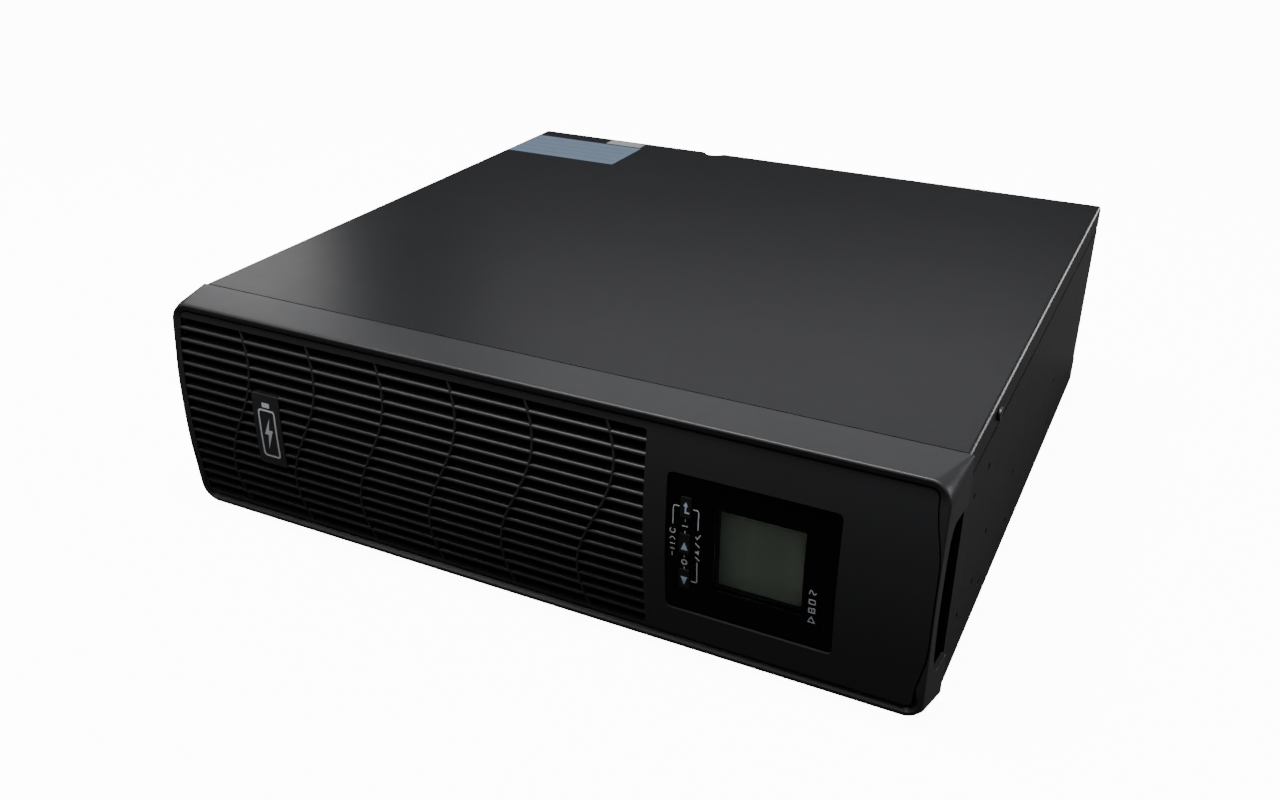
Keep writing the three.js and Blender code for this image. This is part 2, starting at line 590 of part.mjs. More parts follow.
// A bar across the top of the batteries keeps them in their tray.
function batteryStrap() {
  const x0 = batteryX(0) - BATTERY.w / 2 - 1 - SHEET;
  const x1 = batteryX(BATTERIES - 1) + BATTERY.w / 2 + 1 + SHEET;
  const top = BATTERY_Z + BATTERY.h + GAP;
  const bar = box([x0 - SHEET - GAP, x1 + SHEET + GAP], STRAP_Y, [top, top + SHEET]);
  const legs = [[x0 - SHEET - GAP, x0 - GAP], [x1 + GAP, x1 + SHEET + GAP]].map((x) =>
    box(x, STRAP_Y, [30, top + SHEET]),
  );
  return join(bar, ...legs);
}
piece("battery_strap", batteryStrap(), BARE_STEEL);

// ---- Power section ----
piece("main_board", box([-205, 205], [172, 340], BOARD_Z), BOARD_GREEN);

function transformerCore() {
  const block = box(CORE_X, CORE_Y, [SHEET + GAP, 92]);
  const windows = [[108, 127], [155, 174]].map((x) => box(x, [0, 200], [18, 76]));
  return cut(block, ...windows);
}
piece("transformer_core", transformerCore(), BARE_STEEL);
function transformerCoil() {
  const outer = box([109, 173], [CORE_Y[0] - 14, CORE_Y[1] + 14], [19, 75]);
  const limb = box([127 - GAP, 155 + GAP], [CORE_Y[0] - GAP, CORE_Y[1] + GAP], [0, 100]);
  return cut(outer, limb);
}
piece("transformer_coil", transformerCoil(), COPPER);

["heatsink_left", "heatsink_right"].forEach((name, i) => {
  const x = i ? 60 : -110;
  const height = [BOARD_Z[1] + GAP, 84];
  const base = box([x - 40, x + 40], [196, 200], height);
  const fins = Array.from({ length: 9 }, (_, k) =>
    box([x - 39 + k * 9.5, x - 37 + k * 9.5], [199, 226], height),
  );
  piece(name, join(base, ...fins), ALUMINIUM);
});
["bus_capacitor_1", "bus_capacitor_2", "bus_capacitor_3"].forEach((name, i) => {
  piece(name, rodZ([-30 + i * 36, 262], 15, [BOARD_Z[1] + GAP, 58], 20), BLUE_SLEEVE);
});
["power_relay_1", "power_relay_2"].forEach((name, i) => {
  piece(name, box([118 + i * 36, 146 + i * 36], [282, 312], [BOARD_Z[1] + GAP, 36]), BLACK_PLASTIC);
});

// ---- Rear panel and what it carries ----
function rearPanel() {
  const plate = box([-INNER_HALF, INNER_HALF], [REAR_Y - SHEET, REAR_Y],
    [SHEET + GAP, CASE_H - SHEET - GAP]);
  const through = [REAR_Y - 10, REAR_Y + 10];
  const fans = Object.values(FANS).map((at) => rodY(at, FAN_HOLE_R, through, 32));
  const banks = Object.values(OUTLET_ZS).map((z) =>
    facing(rectangle(...BANK_X, z - BANK_HALF_H, z + BANK_HALF_H), through),
  );
  const holes = [
    facing(centred(INLET, 28.6, 20.6), through),
    facing(centred(BREAKER, 12.6, 14.6), through),
    facing(centred(USB, 12.6, 11.6), through),
    facing(centred(JACKS, 18.6, 14.6), through),
    facing(centred(SERIAL, 19.6, 9.6), through),
    facing(centred(EPO, 12.6, 8.6), through),
    facing(centred(BATTERY_PLUG, 36.6, 16.6), through),
    facing(centred(SLOT_COVER, 84, 22), through),
    rodY(GROUND, 2.4, through, 10),
  ];
  return cut(plate, ...fans, ...banks, ...holes);
}
piece("rear_panel", rearPanel(), PAINTED_STEEL);

const FAN_FRONT_Y = REAR_Y - SHEET - GAP - FAN_DEPTH;
const fanScrews = ([x, z]) =>
  [-1, 1].flatMap((sx) => [-1, 1].map((sz) => [x + sx * FAN_SCREW, z + sz * FAN_SCREW]));
function fanFrame(at) {
  const y = [FAN_FRONT_Y, FAN_FRONT_Y + FAN_DEPTH];
  const block = facing(centred(at, FAN_SIZE, FAN_SIZE, 4), y, 2);
  const through = inset(y, -1);
  const bore = rodY(at, FAN_BORE_R, through, 32);
  const screws = fanScrews(at).map((hole) => rodY(hole, 2, through, 8));
  const motor = rodY(at, FAN_HUB_R - 1, [y[0], y[0] + 4], 20);
  const struts = [0, 1, 2].map((k) =>
    solid(boxGeometry([10, 39], [y[0], y[0] + 3], [-1.8, 1.8]).rotateY((k * 2 * Math.PI) / 3)
      .translate(at[0], 0, at[1])),
  );
  return join(cut(block, bore, ...screws), motor, ...struts);
}
function fanRotor(at) {
  const y0 = FAN_FRONT_Y + 5;
  const hub = rodY(at, FAN_HUB_R, [y0, y0 + 17], 20);
  const blades = Array.from({ length: 7 }, (_, k) => {
    const blade = boxGeometry([FAN_HUB_R - 3, FAN_TIP_R], [-8.5, 8.5], [-0.9, 0.9]);
    const p = blade.attributes.position;
    // Pitch: the trailing side leans round the hub, more so near the tip.
    for (let i = 0; i < p.count; i++) p.setZ(i, p.getZ(i) + (p.getY(i) * p.getX(i)) / 30);
    blade.rotateY((k * 2 * Math.PI) / 7);
    return solid(blade.translate(at[0], y0 + 8.5, at[1]));
  });
  return join(hub, ...blades);
}
function ring(at, radius, wire, y) {
  const section = [[-wire, -wire], [wire, -wire], [wire, wire], [-wire, wire], [-wire, -wire]];
  const g = new THREE.LatheGeometry(section.map(([r, h]) => new THREE.Vector2(radius + r, h)), 28);
  return solid(g.translate(at[0], y, at[1]));
}
function fanGuard(at) {
  const y = REAR_Y + GAP + 3.2;
  const rings = GUARD_RS.map((r) => ring(at, r, 0.8, y));
  const spokes = [0, 1].map((k) =>
    solid(boxGeometry([-36, 36], [0, 0.9], [-1, 1]).rotateY(((2 * k + 1) * Math.PI) / 4)
      .translate(at[0], y - 1.2, at[1])),
  );
  const eyes = fanScrews(at).map((eye) => rodY(eye, 4, [REAR_Y + GAP, REAR_Y + GAP + 1.4], 10));
  const arms = [1, 3, 5, 7].map((eighth) =>
    solid(boxGeometry([32, 50.6], [0, 2.6], [-1, 1]).rotateY((eighth * Math.PI) / 4)
      .translate(at[0], REAR_Y + GAP + 0.4, at[1])),
  );
  return join(...rings, ...spokes, ...eyes, ...arms);
}
for (const [name, at] of Object.entries(FANS)) {
  piece(name + "_frame", fanFrame(at), BLACK_PLASTIC);
  piece(name + "_rotor", fanRotor(at), BLACK_PLASTIC);
  piece(name + "_guard", fanGuard(at), BARE_STEEL);
}

// An IEC 60320 socket's outline: a rectangle with two corners cut off.
function iecOutline([x, z], w, h) {
  const [a, b] = [w / 2, h / 2];
  const c = 5.5;
  const s = new THREE.Shape();
  s.moveTo(x - a, z - b).lineTo(x + a, z - b).lineTo(x + a, z + b - c).lineTo(x + a - c, z + b);
  return s.lineTo(x - a + c, z + b).lineTo(x - a, z + b - c).closePath();
}
function outletBank(z) {
  const face = SOCKET_FACE_Y;
  const height = [z - BANK_HALF_H, z + BANK_HALF_H];
  const body = facing(rectangle(...inset(BANK_X, GAP), ...inset(height, GAP)), [REAR_Y - 22, face]);
  const rim = rectangle(...inset(BANK_X, GAP - 2.5), ...inset(height, -2), 1.5);
  const lip = facing(rim, [REAR_Y + GAP, face], 2);
  const wells = OUTLET_XS.map((x) => facing(iecOutline([x, z], ...IEC_SIZE), [REAR_Y - 14, face + 1]));
  const cores = OUTLET_XS.map((x) => facing(iecOutline([x, z], ...IEC_CORE), [REAR_Y - 15, face - 0.5]));
  const slots = OUTLET_XS.flatMap((x) =>
    IEC_PINS.map(([dx, dz]) => facing(centred([x + dx, z + dz], 2.2, 4.6), [REAR_Y - 10, face + 1])),
  );
  return cut(join(cut(join(body, lip), ...wells), ...cores), ...slots);
}
for (const [name, z] of Object.entries(OUTLET_ZS)) piece(name, outletBank(z), BLACK_PLASTIC);

function acInlet() {
  const body = facing(centred(INLET, 28, 20), [REAR_Y - 24, SOCKET_FACE_Y]);
  const flange = facing(centred(INLET, 50, 25, 3), [REAR_Y + GAP, REAR_Y + 2.8], 2);
  const well = facing(iecOutline(INLET, ...IEC_SIZE), [REAR_Y - 17, REAR_Y + 4]);
  const pins = IEC_PINS.map(([dx, dz]) =>
    facing(centred([INLET[0] + dx, INLET[1] + dz], 2, 4), [REAR_Y - 18, REAR_Y - 5]),
  );
  return join(cut(join(body, flange), well), ...pins);
}
piece("ac_inlet", acInlet(), BLACK_PLASTIC);

function breakerBody() {
  const body = facing(centred(BREAKER, 12, 14), [REAR_Y - 26, REAR_Y + 1]);
  const collar = rodY(BREAKER, 8.2, [REAR_Y + GAP, REAR_Y + 3.4], 20);
  return cut(join(body, collar), rodY(BREAKER, 4, [REAR_Y - 8, REAR_Y + 5], 16));
}
piece("breaker_body", breakerBody(), BLACK_PLASTIC);
piece("breaker_button", rodY(BREAKER, 3.6, [REAR_Y - 7.6, REAR_Y + 6], 16), KEY_PLASTIC);

function usbPort() {
  const body = facing(centred(USB, 12, 11), [REAR_Y - 15, REAR_Y + 0.8]);
  const mouth = facing(centred(USB, 8.6, 7.8), [REAR_Y - 9, REAR_Y + 2]);
  const tongue = facing(centred(USB, 5.6, 3), [REAR_Y - 10, REAR_Y - 1.5]);
  return join(cut(body, mouth), tongue);
}
piece("usb_port", usbPort(), BARE_STEEL);

function surgeJacks() {
  const body = facing(centred(JACKS, 18, 14), [REAR_Y - 15, REAR_Y + 1.2]);
  const mouth = facing(centred(JACKS, 12, 8), [REAR_Y - 12, REAR_Y + 3]);
  const latch = facing(centred([JACKS[0], JACKS[1] - 4.5], 5, 3), [REAR_Y - 12, REAR_Y + 3]);
  return cut(body, mouth, latch);
}
piece("network_jack", surgeJacks(), BLACK_PLASTIC);

function serialPort() {
  const s = new THREE.Shape();
  const [x, z] = SERIAL;
  s.moveTo(x - 8, z - 4).lineTo(x + 8, z - 4).lineTo(x + 9.2, z + 4).lineTo(x - 9.2, z + 4);
  const shell = facing(s, [REAR_Y - 10, REAR_Y + 5.5]);
  const flange = facing(centred(SERIAL, 30, 12.4, 1.5), [REAR_Y + GAP, REAR_Y + 1.4], 2);
  const insert = new THREE.Shape();
  insert.moveTo(x - 6.8, z - 2.9).lineTo(x + 6.8, z - 2.9);
  insert.lineTo(x + 7.9, z + 2.9).lineTo(x - 7.9, z + 2.9);
  return cut(join(shell, flange), facing(insert, [REAR_Y - 1, REAR_Y + 7]));
}
piece("serial_port", serialPort(), BARE_STEEL);

function epoTerminal() {
  const body = facing(centred(EPO, 12, 8), [REAR_Y - 12, REAR_Y + 3]);
  const wires = [-2.6, 2.6].map((dx) =>
    facing(centred([EPO[0] + dx, EPO[1]], 3.4, 4.2), [REAR_Y - 6, REAR_Y + 4]),
  );
  return cut(body, ...wires);
}
piece("epo_terminal", epoTerminal(), GREEN_TERMINAL);

function batteryConnector() {
  const body = facing(centred(BATTERY_PLUG, 36, 16), [REAR_Y - 24, REAR_Y + 5]);
  const wells = BATTERY_WELL_DX.map((dx) =>
    facing(centred([BATTERY_PLUG[0] + dx, BATTERY_PLUG[1]], 13, 11), [REAR_Y - 14, REAR_Y + 6]),
  );
  const blades = BATTERY_WELL_DX.map((dx) =>
    facing(centred([BATTERY_PLUG[0] + dx, BATTERY_PLUG[1]], 8, 2), [REAR_Y - 15, REAR_Y - 4]),
  );
  return join(cut(body, ...wells), ...blades);
}
piece("battery_connector", batteryConnector(), BLACK_PLASTIC);

function slotCover() {
  const plate = facing(centred(SLOT_COVER, 100, 30, 1.5), [REAR_Y + GAP, REAR_Y + GAP + SHEET], 2);
  const holes = [-SLOT_SCREW_DX, SLOT_SCREW_DX].map((dx) =>
    rodY([SLOT_COVER[0] + dx, SLOT_COVER[1]], 2, [REAR_Y - 1, REAR_Y + 4], 10),
  );
  return cut(plate, ...holes);
}
piece("slot_cover", slotCover(), PAINTED_STEEL);
["slot_screw_left", "slot_screw_right"].forEach((name, i) => {
  const at = [SLOT_COVER[0] + (i ? SLOT_SCREW_DX : -SLOT_SCREW_DX), SLOT_COVER[1]];
  const y = REAR_Y + 2 * GAP + SHEET;
  const head = rodY(at, 3.8, [y, y + 4], 14);
  const shank = rodY(at, 1.6, [REAR_Y + GAP + 0.1, y + 1], 8);
  const drive = box([at[0] - 3, at[0] + 3], [y + 3, y + 6], [at[1] - 0.5, at[1] + 0.5]);
  piece(name, cut(join(head, shank), drive), BARE_STEEL);
});
function groundStud() {
  const stud = rodY(GROUND, 2, [REAR_Y - 8, REAR_Y + 7.6], 10);
  const nut = rodY(GROUND, 4.6, [REAR_Y + GAP, REAR_Y + 3.6], 6);
  return join(stud, nut);
}
piece("ground_stud", groundStud(), BARE_STEEL);

const root = new THREE.Group();
root.add(unit);
export default root;
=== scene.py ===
import json
import math

import bmesh
import bpy
from mathutils import Matrix, Vector


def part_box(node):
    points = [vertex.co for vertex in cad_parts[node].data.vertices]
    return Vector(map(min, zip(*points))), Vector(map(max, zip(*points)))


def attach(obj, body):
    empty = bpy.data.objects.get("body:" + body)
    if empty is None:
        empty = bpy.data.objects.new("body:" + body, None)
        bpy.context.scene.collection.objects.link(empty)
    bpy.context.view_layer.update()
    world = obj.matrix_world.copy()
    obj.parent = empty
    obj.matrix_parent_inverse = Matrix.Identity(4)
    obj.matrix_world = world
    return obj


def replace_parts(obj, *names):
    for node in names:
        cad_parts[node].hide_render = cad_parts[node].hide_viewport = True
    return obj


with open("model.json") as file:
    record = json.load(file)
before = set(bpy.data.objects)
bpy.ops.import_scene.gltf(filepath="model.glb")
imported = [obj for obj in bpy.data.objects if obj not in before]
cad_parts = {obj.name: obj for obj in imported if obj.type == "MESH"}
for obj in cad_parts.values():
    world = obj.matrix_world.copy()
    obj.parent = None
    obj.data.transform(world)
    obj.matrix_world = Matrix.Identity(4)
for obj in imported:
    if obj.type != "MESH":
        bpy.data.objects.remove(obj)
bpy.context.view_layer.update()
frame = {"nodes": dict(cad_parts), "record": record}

MM = 0.001

# The seam between the bezel and the steel case, and the case's rear face
SEAM_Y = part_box("top_cover")[0].y - 0.4 * MM
REAR_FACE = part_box("rear_panel")[1].y

# The front panel: an arc in side view
PANEL_LO, PANEL_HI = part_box("front_panel")
PANEL_SAG = 4.8 * MM
PANEL_MID_Z = (PANEL_LO.z + PANEL_HI.z) / 2
PANEL_HALF_H = (PANEL_HI.z - PANEL_LO.z) / 2
PANEL_T = 3.0 * MM
DISPLAY_SINK = 1.3 * MM

# The bezel's frame tapers from a square outline at the seam to a round one in front
FRAME_LO, FRAME_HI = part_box("bezel_frame")
FRAME_HALF = (FRAME_HI.x, 218.3 * MM)
FRAME_LOW = (FRAME_LO.z, 4.0 * MM)
FRAME_HIGH = (FRAME_HI.z, 131.0 * MM)
FRAME_ROUND = (1.5 * MM, 11.0 * MM)
BEZEL_D = SEAM_Y - PANEL_LO.y
RIM_SAG = 4.2 * MM
RIM_FRONT = PANEL_LO.y + 0.2 * MM
WALL = 2.5 * MM
GROOVE = 0.45 * MM
GROOVE_DEPTH = 1.8 * MM
LIP_SET_BACK = 0.45 * MM

# The grille
GRILLE = (-213.5 * MM, 76.5 * MM, 12.5 * MM, 122.8 * MM)
SLATS = 16
SLAT_PITCH = 7.0 * MM
SLAT_TOP = 117.6 * MM
SLAT_T = 2.2 * MM
RIBS = 6
RIB_PITCH = 45.0 * MM
RIB_FIRST = -175.5 * MM
RIB_W = 1.6 * MM
RIB_SET_BACK = 0.02 * MM
WEAVE = 10.5 * MM
WEAVE_WAVE = 132.0 * MM

# The display's parts, from its nodes
DISPLAY_LO, DISPLAY_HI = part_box("display_housing")
KEY_X = sum(c.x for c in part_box("key_up")) / 2


def arc_y(z, middle, half, front, sag):
    """y at height z of an arc that is at front in its middle and sag behind at its ends."""
    radius = (half**2 + sag**2) / (2 * sag)
    return front + radius - math.sqrt(radius**2 - (z - middle) ** 2)


def panel_y(z):
    return arc_y(z, PANEL_MID_Z, PANEL_HALF_H, PANEL_LO.y, PANEL_SAG)


def rim_y(z):
    low, high = FRAME_LOW[1], FRAME_HIGH[1]
    return arc_y(z, (low + high) / 2, (high - low) / 2, RIM_FRONT, RIM_SAG)


def face_y(z):
    """The display's face, sunk behind the panel's."""
    return panel_y(z) + DISPLAY_SINK


# ---------------------------------------------------------------- materials


def new_material(name):
    material = bpy.data.materials.new(name)
    material.use_nodes = True
    nodes, links = material.node_tree.nodes, material.node_tree.links
    return material, nodes, links, nodes["Principled BSDF"]


def noise(nodes, links, coords, scale, detail=3.0, roughness=0.55):
    node = nodes.new("ShaderNodeTexNoise")
    node.inputs["Scale"].default_value = scale
    node.inputs["Detail"].default_value = detail
    node.inputs["Roughness"].default_value = roughness
    links.new(coords, node.inputs["Vector"])
    return node.outputs["Fac"]


def spread(nodes, links, value, low, high, start=0.3, end=0.7):
    """Maps a noise's middle range onto low..high."""
    node = nodes.new("ShaderNodeMapRange")
    node.inputs["From Min"].default_value = start
    node.inputs["From Max"].default_value = end
    node.inputs["To Min"].default_value = low
    node.inputs["To Max"].default_value = high
    links.new(value, node.inputs["Value"])
    return node.outputs["Result"]


def mixed(nodes, links, factor, a, b):
    node = nodes.new("ShaderNodeMix")
    node.data_type = "RGBA"
    links.new(factor, node.inputs["Factor"])
    for socket, value in ((node.inputs["A"], a), (node.inputs["B"], b)):
        if isinstance(value, tuple):
            socket.default_value = (*value, 1.0)
        else:
            links.new(value, socket)
    return node.outputs["Result"]


def multiplied(nodes, links, a, b):
    node = nodes.new("ShaderNodeMath")
    node.operation = "MULTIPLY"
    links.new(a, node.inputs[0])
    links.new(b, node.inputs[1])
    return node.outputs[0]


def edge_mask(nodes, links, radius):
    """1 where a sharp edge is near, from how a rounded normal leaves the true one."""
    bevel = nodes.new("ShaderNodeBevel")
    bevel.samples = 4
    bevel.inputs["Radius"].default_value = radius
    geometry = nodes.new("ShaderNodeNewGeometry")
    dot = nodes.new("ShaderNodeVectorMath")
    dot.operation = "DOT_PRODUCT"
    links.new(bevel.outputs["Normal"], dot.inputs[0])
    links.new(geometry.outputs["Normal"], dot.inputs[1])
    return spread(nodes, links, dot.outputs["Value"], 1.0, 0.0, 0.75, 0.97)


def coated(
    name,
    colour,
    roughness,
    grain,
    depth,
    variation=0.25,
    rough_spread=0.06,
    metallic=0.0,
    wear=None,
    worn_at=0.6,
    stretch=(1.0, 1.0, 1.0),
    coat=0.0,
    specular=0.5,
):
    """A moulded or coated surface: fine grain in the bump, slow mottling, and worn edges."""
    material, nodes, links, shader = new_material(name)
    where = nodes.new("ShaderNodeTexCoord").outputs["Object"]
    if stretch != (1.0, 1.0, 1.0):
        mapping = nodes.new("ShaderNodeMapping")
        mapping.inputs["Scale"].default_value = stretch
        links.new(where, mapping.inputs["Vector"])
        where = mapping.outputs["Vector"]
    fine = noise(nodes, links, where, grain, 2.0, 0.6)
    slow = noise(nodes, links, where, 24.0, 4.0)
    smear = noise(nodes, links, where, 75.0, 5.0, 0.65)
    dark = tuple(c * (1.0 - variation) for c in colour)
    light = tuple(min(1.0, c * (1.0 + variation)) for c in colour)
    shade = mixed(nodes, links, spread(nodes, links, slow, 0.0, 1.0), dark, light)
    shade = mixed(nodes, links, spread(nodes, links, fine, 0.0, 0.5), shade, light)
    if wear is not None:
        rubbed = multiplied(
            nodes,
            links,
            edge_mask(nodes, links, 0.5 * MM),
            spread(nodes, links, smear, 0.0, worn_at, 0.4, 0.62),
        )
        shade = mixed(nodes, links, rubbed, shade, wear)
    links.new(shade, shader.inputs["Base Color"])
    links.new(
        spread(nodes, links, smear, roughness - rough_spread, roughness + rough_spread),
        shader.inputs["Roughness"],
    )
    shader.inputs["Metallic"].default_value = metallic
    shader.inputs["Coat Weight"].default_value = coat
    shader.inputs["Coat Roughness"].default_value = 0.08
    shader.inputs["Specular IOR Level"].default_value = specular
    bump = nodes.new("ShaderNodeBump")
    bump.inputs["Strength"].default_value = 1.0
    bump.inputs["Distance"].default_value = depth
    links.new(fine, bump.inputs["Height"])
    links.new(bump.outputs["Normal"], shader.inputs["Normal"])
    return material


def clear_plastic(name, tint, ior):
    material, nodes, links, shader = new_material(name)
    where = nodes.new("ShaderNodeTexCoord").outputs["Object"]
    cloud = noise(nodes, links, where, 180.0, 4.0)
    links.new(spread(nodes, links, cloud, 0.03, 0.09), shader.inputs["Roughness"])
    colour = mixed(nodes, links, cloud, tuple(c * 0.93 for c in tint), tint)
    links.new(colour, shader.inputs["Base Color"])
    shader.inputs["Transmission Weight"].default_value = 1.0
    shader.inputs["IOR"].default_value = ior
    return material


# The glass's own colour, and a darker copy of it for the shadow painted on its left part
LCD_PAINTED_SHADOW = (0.125, 0.148, 0.12)
LCD_UNSHADED = (0.215, 0.248, 0.195)
LCD_CLOUD = (0.16, 0.185, 0.15)


def liquid_crystal():
    """Grey-green display glass with a painted shadow darkening its left part, and the cells' faint
    grid.
    """
    material, nodes, links, shader = new_material("liquid_crystal")
    where = nodes.new("ShaderNodeTexCoord").outputs["Object"]
    cloud = noise(nodes, links, where, 30.0, 2.0)
    split = nodes.new("ShaderNodeSeparateXYZ")
    links.new(where, split.inputs["Vector"])
    low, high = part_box("lcd_glass")
    # Painted shadow: the glass is darkest at its left edge and fades to its own colour 40 % across
    painted_shadow_end = low.x + 0.4 * (high.x - low.x)
    across = spread(nodes, links, split.outputs["X"], 0.0, 1.0, low.x, painted_shadow_end)
    base = mixed(nodes, links, across, LCD_PAINTED_SHADOW, LCD_UNSHADED)
    shade = mixed(nodes, links, spread(nodes, links, cloud, 0.0, 0.25), base, LCD_CLOUD)
    links.new(shade, shader.inputs["Base Color"])
    links.new(spread(nodes, links, cloud, 0.2, 0.28), shader.inputs["Roughness"])
    cells = nodes.new("ShaderNodeTexWave")
    cells.inputs["Scale"].default_value = 400.0
    shader.inputs["Specular IOR Level"].default_value = 0.1
    links.new(where, cells.inputs["Vector"])
    bump = nodes.new("ShaderNodeBump")
    bump.inputs["Distance"].default_value = 0.002 * MM
    links.new(cells.outputs["Fac"], bump.inputs["Height"])
    links.new(bump.outputs["Normal"], shader.inputs["Normal"])
    return material


def circuit_board(name, colour, trace):
    """Solder mask with the faint relief of copper tracks under it."""
    material, nodes, links, shader = new_material(name)
    where = nodes.new("ShaderNodeTexCoord").outputs["Object"]
    tracks = nodes.new("ShaderNodeTexBrick")
    tracks.inputs["Scale"].default_value = 140.0
    tracks.inputs["Mortar Size"].default_value = 0.06
    tracks.inputs["Color1"].default_value = (0.0, 0.0, 0.0, 1.0)
    tracks.inputs["Color2"].default_value = (0.25, 0.25, 0.25, 1.0)
    tracks.inputs["Mortar"].default_value = (1.0, 1.0, 1.0, 1.0)
    links.new(where, tracks.inputs["Vector"])
    cloud = noise(nodes, links, where, 60.0)
    shade = mixed(nodes, links, tracks.outputs["Color"], colour, trace)
    shade = mixed(nodes, links, spread(nodes, links, cloud, 0.0, 0.3), shade, colour)
    links.new(shade, shader.inputs["Base Color"])
    links.new(spread(nodes, links, cloud, 0.28, 0.42), shader.inputs["Roughness"])
    bump = nodes.new("ShaderNodeBump")
    bump.inputs["Distance"].default_value = 0.03 * MM
    links.new(tracks.outputs["Color"], bump.inputs["Height"])
    links.new(bump.outputs["Normal"], shader.inputs["Normal"])
    return material


def inside(nodes, links, value, low, high):
    """1 where value lies between low and high."""
    node = nodes.new("ShaderNodeMath")
    node.operation = "COMPARE"
    links.new(value, node.inputs[0])
    node.inputs[1].default_value = (low + high) / 2
    node.inputs[2].default_value = (high - low) / 2
    return node.outputs[0]


def add_label(material, box, colour, rules=0):
    """Lays a paper label on a coated surface seen from above, with blank ruled rows."""
    nodes, links = material.node_tree.nodes, material.node_tree.links
    shader = nodes["Principled BSDF"]
    split = nodes.new("ShaderNodeSeparateXYZ")
    where = nodes.new("ShaderNodeTexCoord").outputs["Object"]
    links.new(where, split.inputs["Vector"])
    x, y = split.outputs["X"], split.outputs["Y"]
    x0, x1, y0, y1 = box
    within_x = inside(nodes, links, x, x0, x1)
    within_y = inside(nodes, links, y, y0, y1)
    mask = multiplied(nodes, links, within_x, within_y)
    fibre = noise(nodes, links, where, 90.0)
    paper = mixed(nodes, links, fibre, colour, tuple(c * 0.85 for c in colour))
    margin = 3.0 * MM
    for k in range(rules):
        at = y0 + (y1 - y0) * (k + 1) / (rules + 1)
        line = multiplied(
            nodes,
            links,
            inside(nodes, links, y, at - 0.3 * MM, at + 0.3 * MM),
            inside(nodes, links, x, x0 + margin, x1 - margin),
        )
        paper = mixed(nodes, links, line, paper, tuple(c * 0.45 for c in colour))
    under = shader.inputs["Base Color"].links[0].from_socket
    links.new(mixed(nodes, links, mask, under, paper), shader.inputs["Base Color"])


POWDER = (0.0105, 0.0108, 0.0122)
MOULDED = (0.026, 0.0264, 0.0284)
LOOKS = {
    "painted_steel": coated(
        "powder_coat", POWDER, 0.36, 1100, 0.03 * MM, 0.07, 0.012,
        wear=(0.07, 0.07, 0.075), specular=0.3,
    ),
    "bezel_plastic": coated(
        "moulded_bezel", MOULDED, 0.37, 2400, 0.025 * MM, 0.06, 0.015,
        wear=(0.06, 0.06, 0.063), specular=0.35,
    ),
    "gloss_plastic": coated(
        "gloss_black", (0.0016, 0.0016, 0.0018), 0.12, 300, 0.0006 * MM, 0.2, 0.03, specular=0.12
    ),
    "key_plastic": coated(
        "key_plastic", (0.012, 0.012, 0.0135), 0.36, 1800, 0.01 * MM, 0.15,
        wear=(0.05, 0.05, 0.055), specular=0.25,
    ),
    "black_plastic": coated(
        "black_nylon", (0.013, 0.013, 0.014), 0.48, 1500, 0.02 * MM, 0.2, wear=(0.05, 0.05, 0.05)
    ),
    "green_plastic": coated("green_terminal", (0.02, 0.16, 0.05), 0.42, 1200, 0.02 * MM, 0.15),
    "battery_case": coated(
        "battery_abs", (0.03, 0.032, 0.036), 0.5, 900, 0.03 * MM, 0.2, wear=(0.09, 0.09, 0.09)
    ),
    "blue_sleeve": coated(
        "capacitor_sleeve", (0.012, 0.022, 0.075), 0.28, 400, 0.01 * MM, 0.2, coat=0.3
    ),
    "bare_steel": coated(
        "zinc_plate", (0.5, 0.5, 0.49), 0.3, 700, 0.01 * MM, 0.18, 0.08,
        metallic=1.0, stretch=(1.0, 6.0, 1.0),
    ),
    "aluminium": coated(
        "extruded_aluminium", (0.6, 0.6, 0.62), 0.36, 500, 0.02 * MM, 0.12, 0.08,
        metallic=1.0, stretch=(8.0, 8.0, 1.0),
    ),
    "copper": coated(
        "copper_winding", (0.5, 0.2, 0.09), 0.35, 160, 0.15 * MM, 0.25, 0.08,
        metallic=1.0, stretch=(1.0, 1.0, 14.0),
    ),
    "board": circuit_board("solder_mask", (0.012, 0.07, 0.028), (0.03, 0.14, 0.06)),
    "clear": clear_plastic("clear_acrylic", (0.98, 0.99, 0.99), 1.12),
    "lcd": liquid_crystal(),
}
COVER_LOOK = coated(
    "cover_powder_coat", POWDER, 0.34, 1100, 0.02 * MM, 0.05, 0.01,
    wear=(0.07, 0.07, 0.075), specular=0.3,
)
# The cover's two labels, each from x to x and from y to y
LARGE_LABEL = (-217 * MM, -125 * MM, SEAM_Y + 322 * MM, SEAM_Y + 371 * MM)
SMALL_LABEL = (-157 * MM, -127 * MM, SEAM_Y + 373 * MM, SEAM_Y + 384 * MM)
add_label(COVER_LOOK, LARGE_LABEL, (0.11, 0.15, 0.205), 4)
add_label(COVER_LOOK, SMALL_LABEL, (0.24, 0.25, 0.265))
SMOKED = clear_plastic("smoked_acrylic", (0.12, 0.12, 0.12), 1.3)
DARK_SCREW = coated(
    "black_zinc", (0.06, 0.06, 0.062), 0.4, 900, 0.01 * MM, 0.15, 0.05, metallic=0.8
)
PRINT = coated("white_print", (0.78, 0.82, 0.86), 0.45, 900, 0.004 * MM, 0.12)
PRINT_BLUE = coated("blue_white_print", (0.6, 0.74, 0.92), 0.42, 900, 0.004 * MM, 0.12)
BRASS = coated("contact_brass", (0.55, 0.38, 0.14), 0.3, 600, 0.01 * MM, 0.15, 0.07, metallic=1.0)

# ---------------------------------------------------------------- mesh tools


def link(name, mesh, material, body):
    piece = bpy.data.objects.new(name, mesh)
    bpy.context.scene.collection.objects.link(piece)
    if not mesh.materials:
        mesh.materials.append(material)
    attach(piece, body)
    return piece


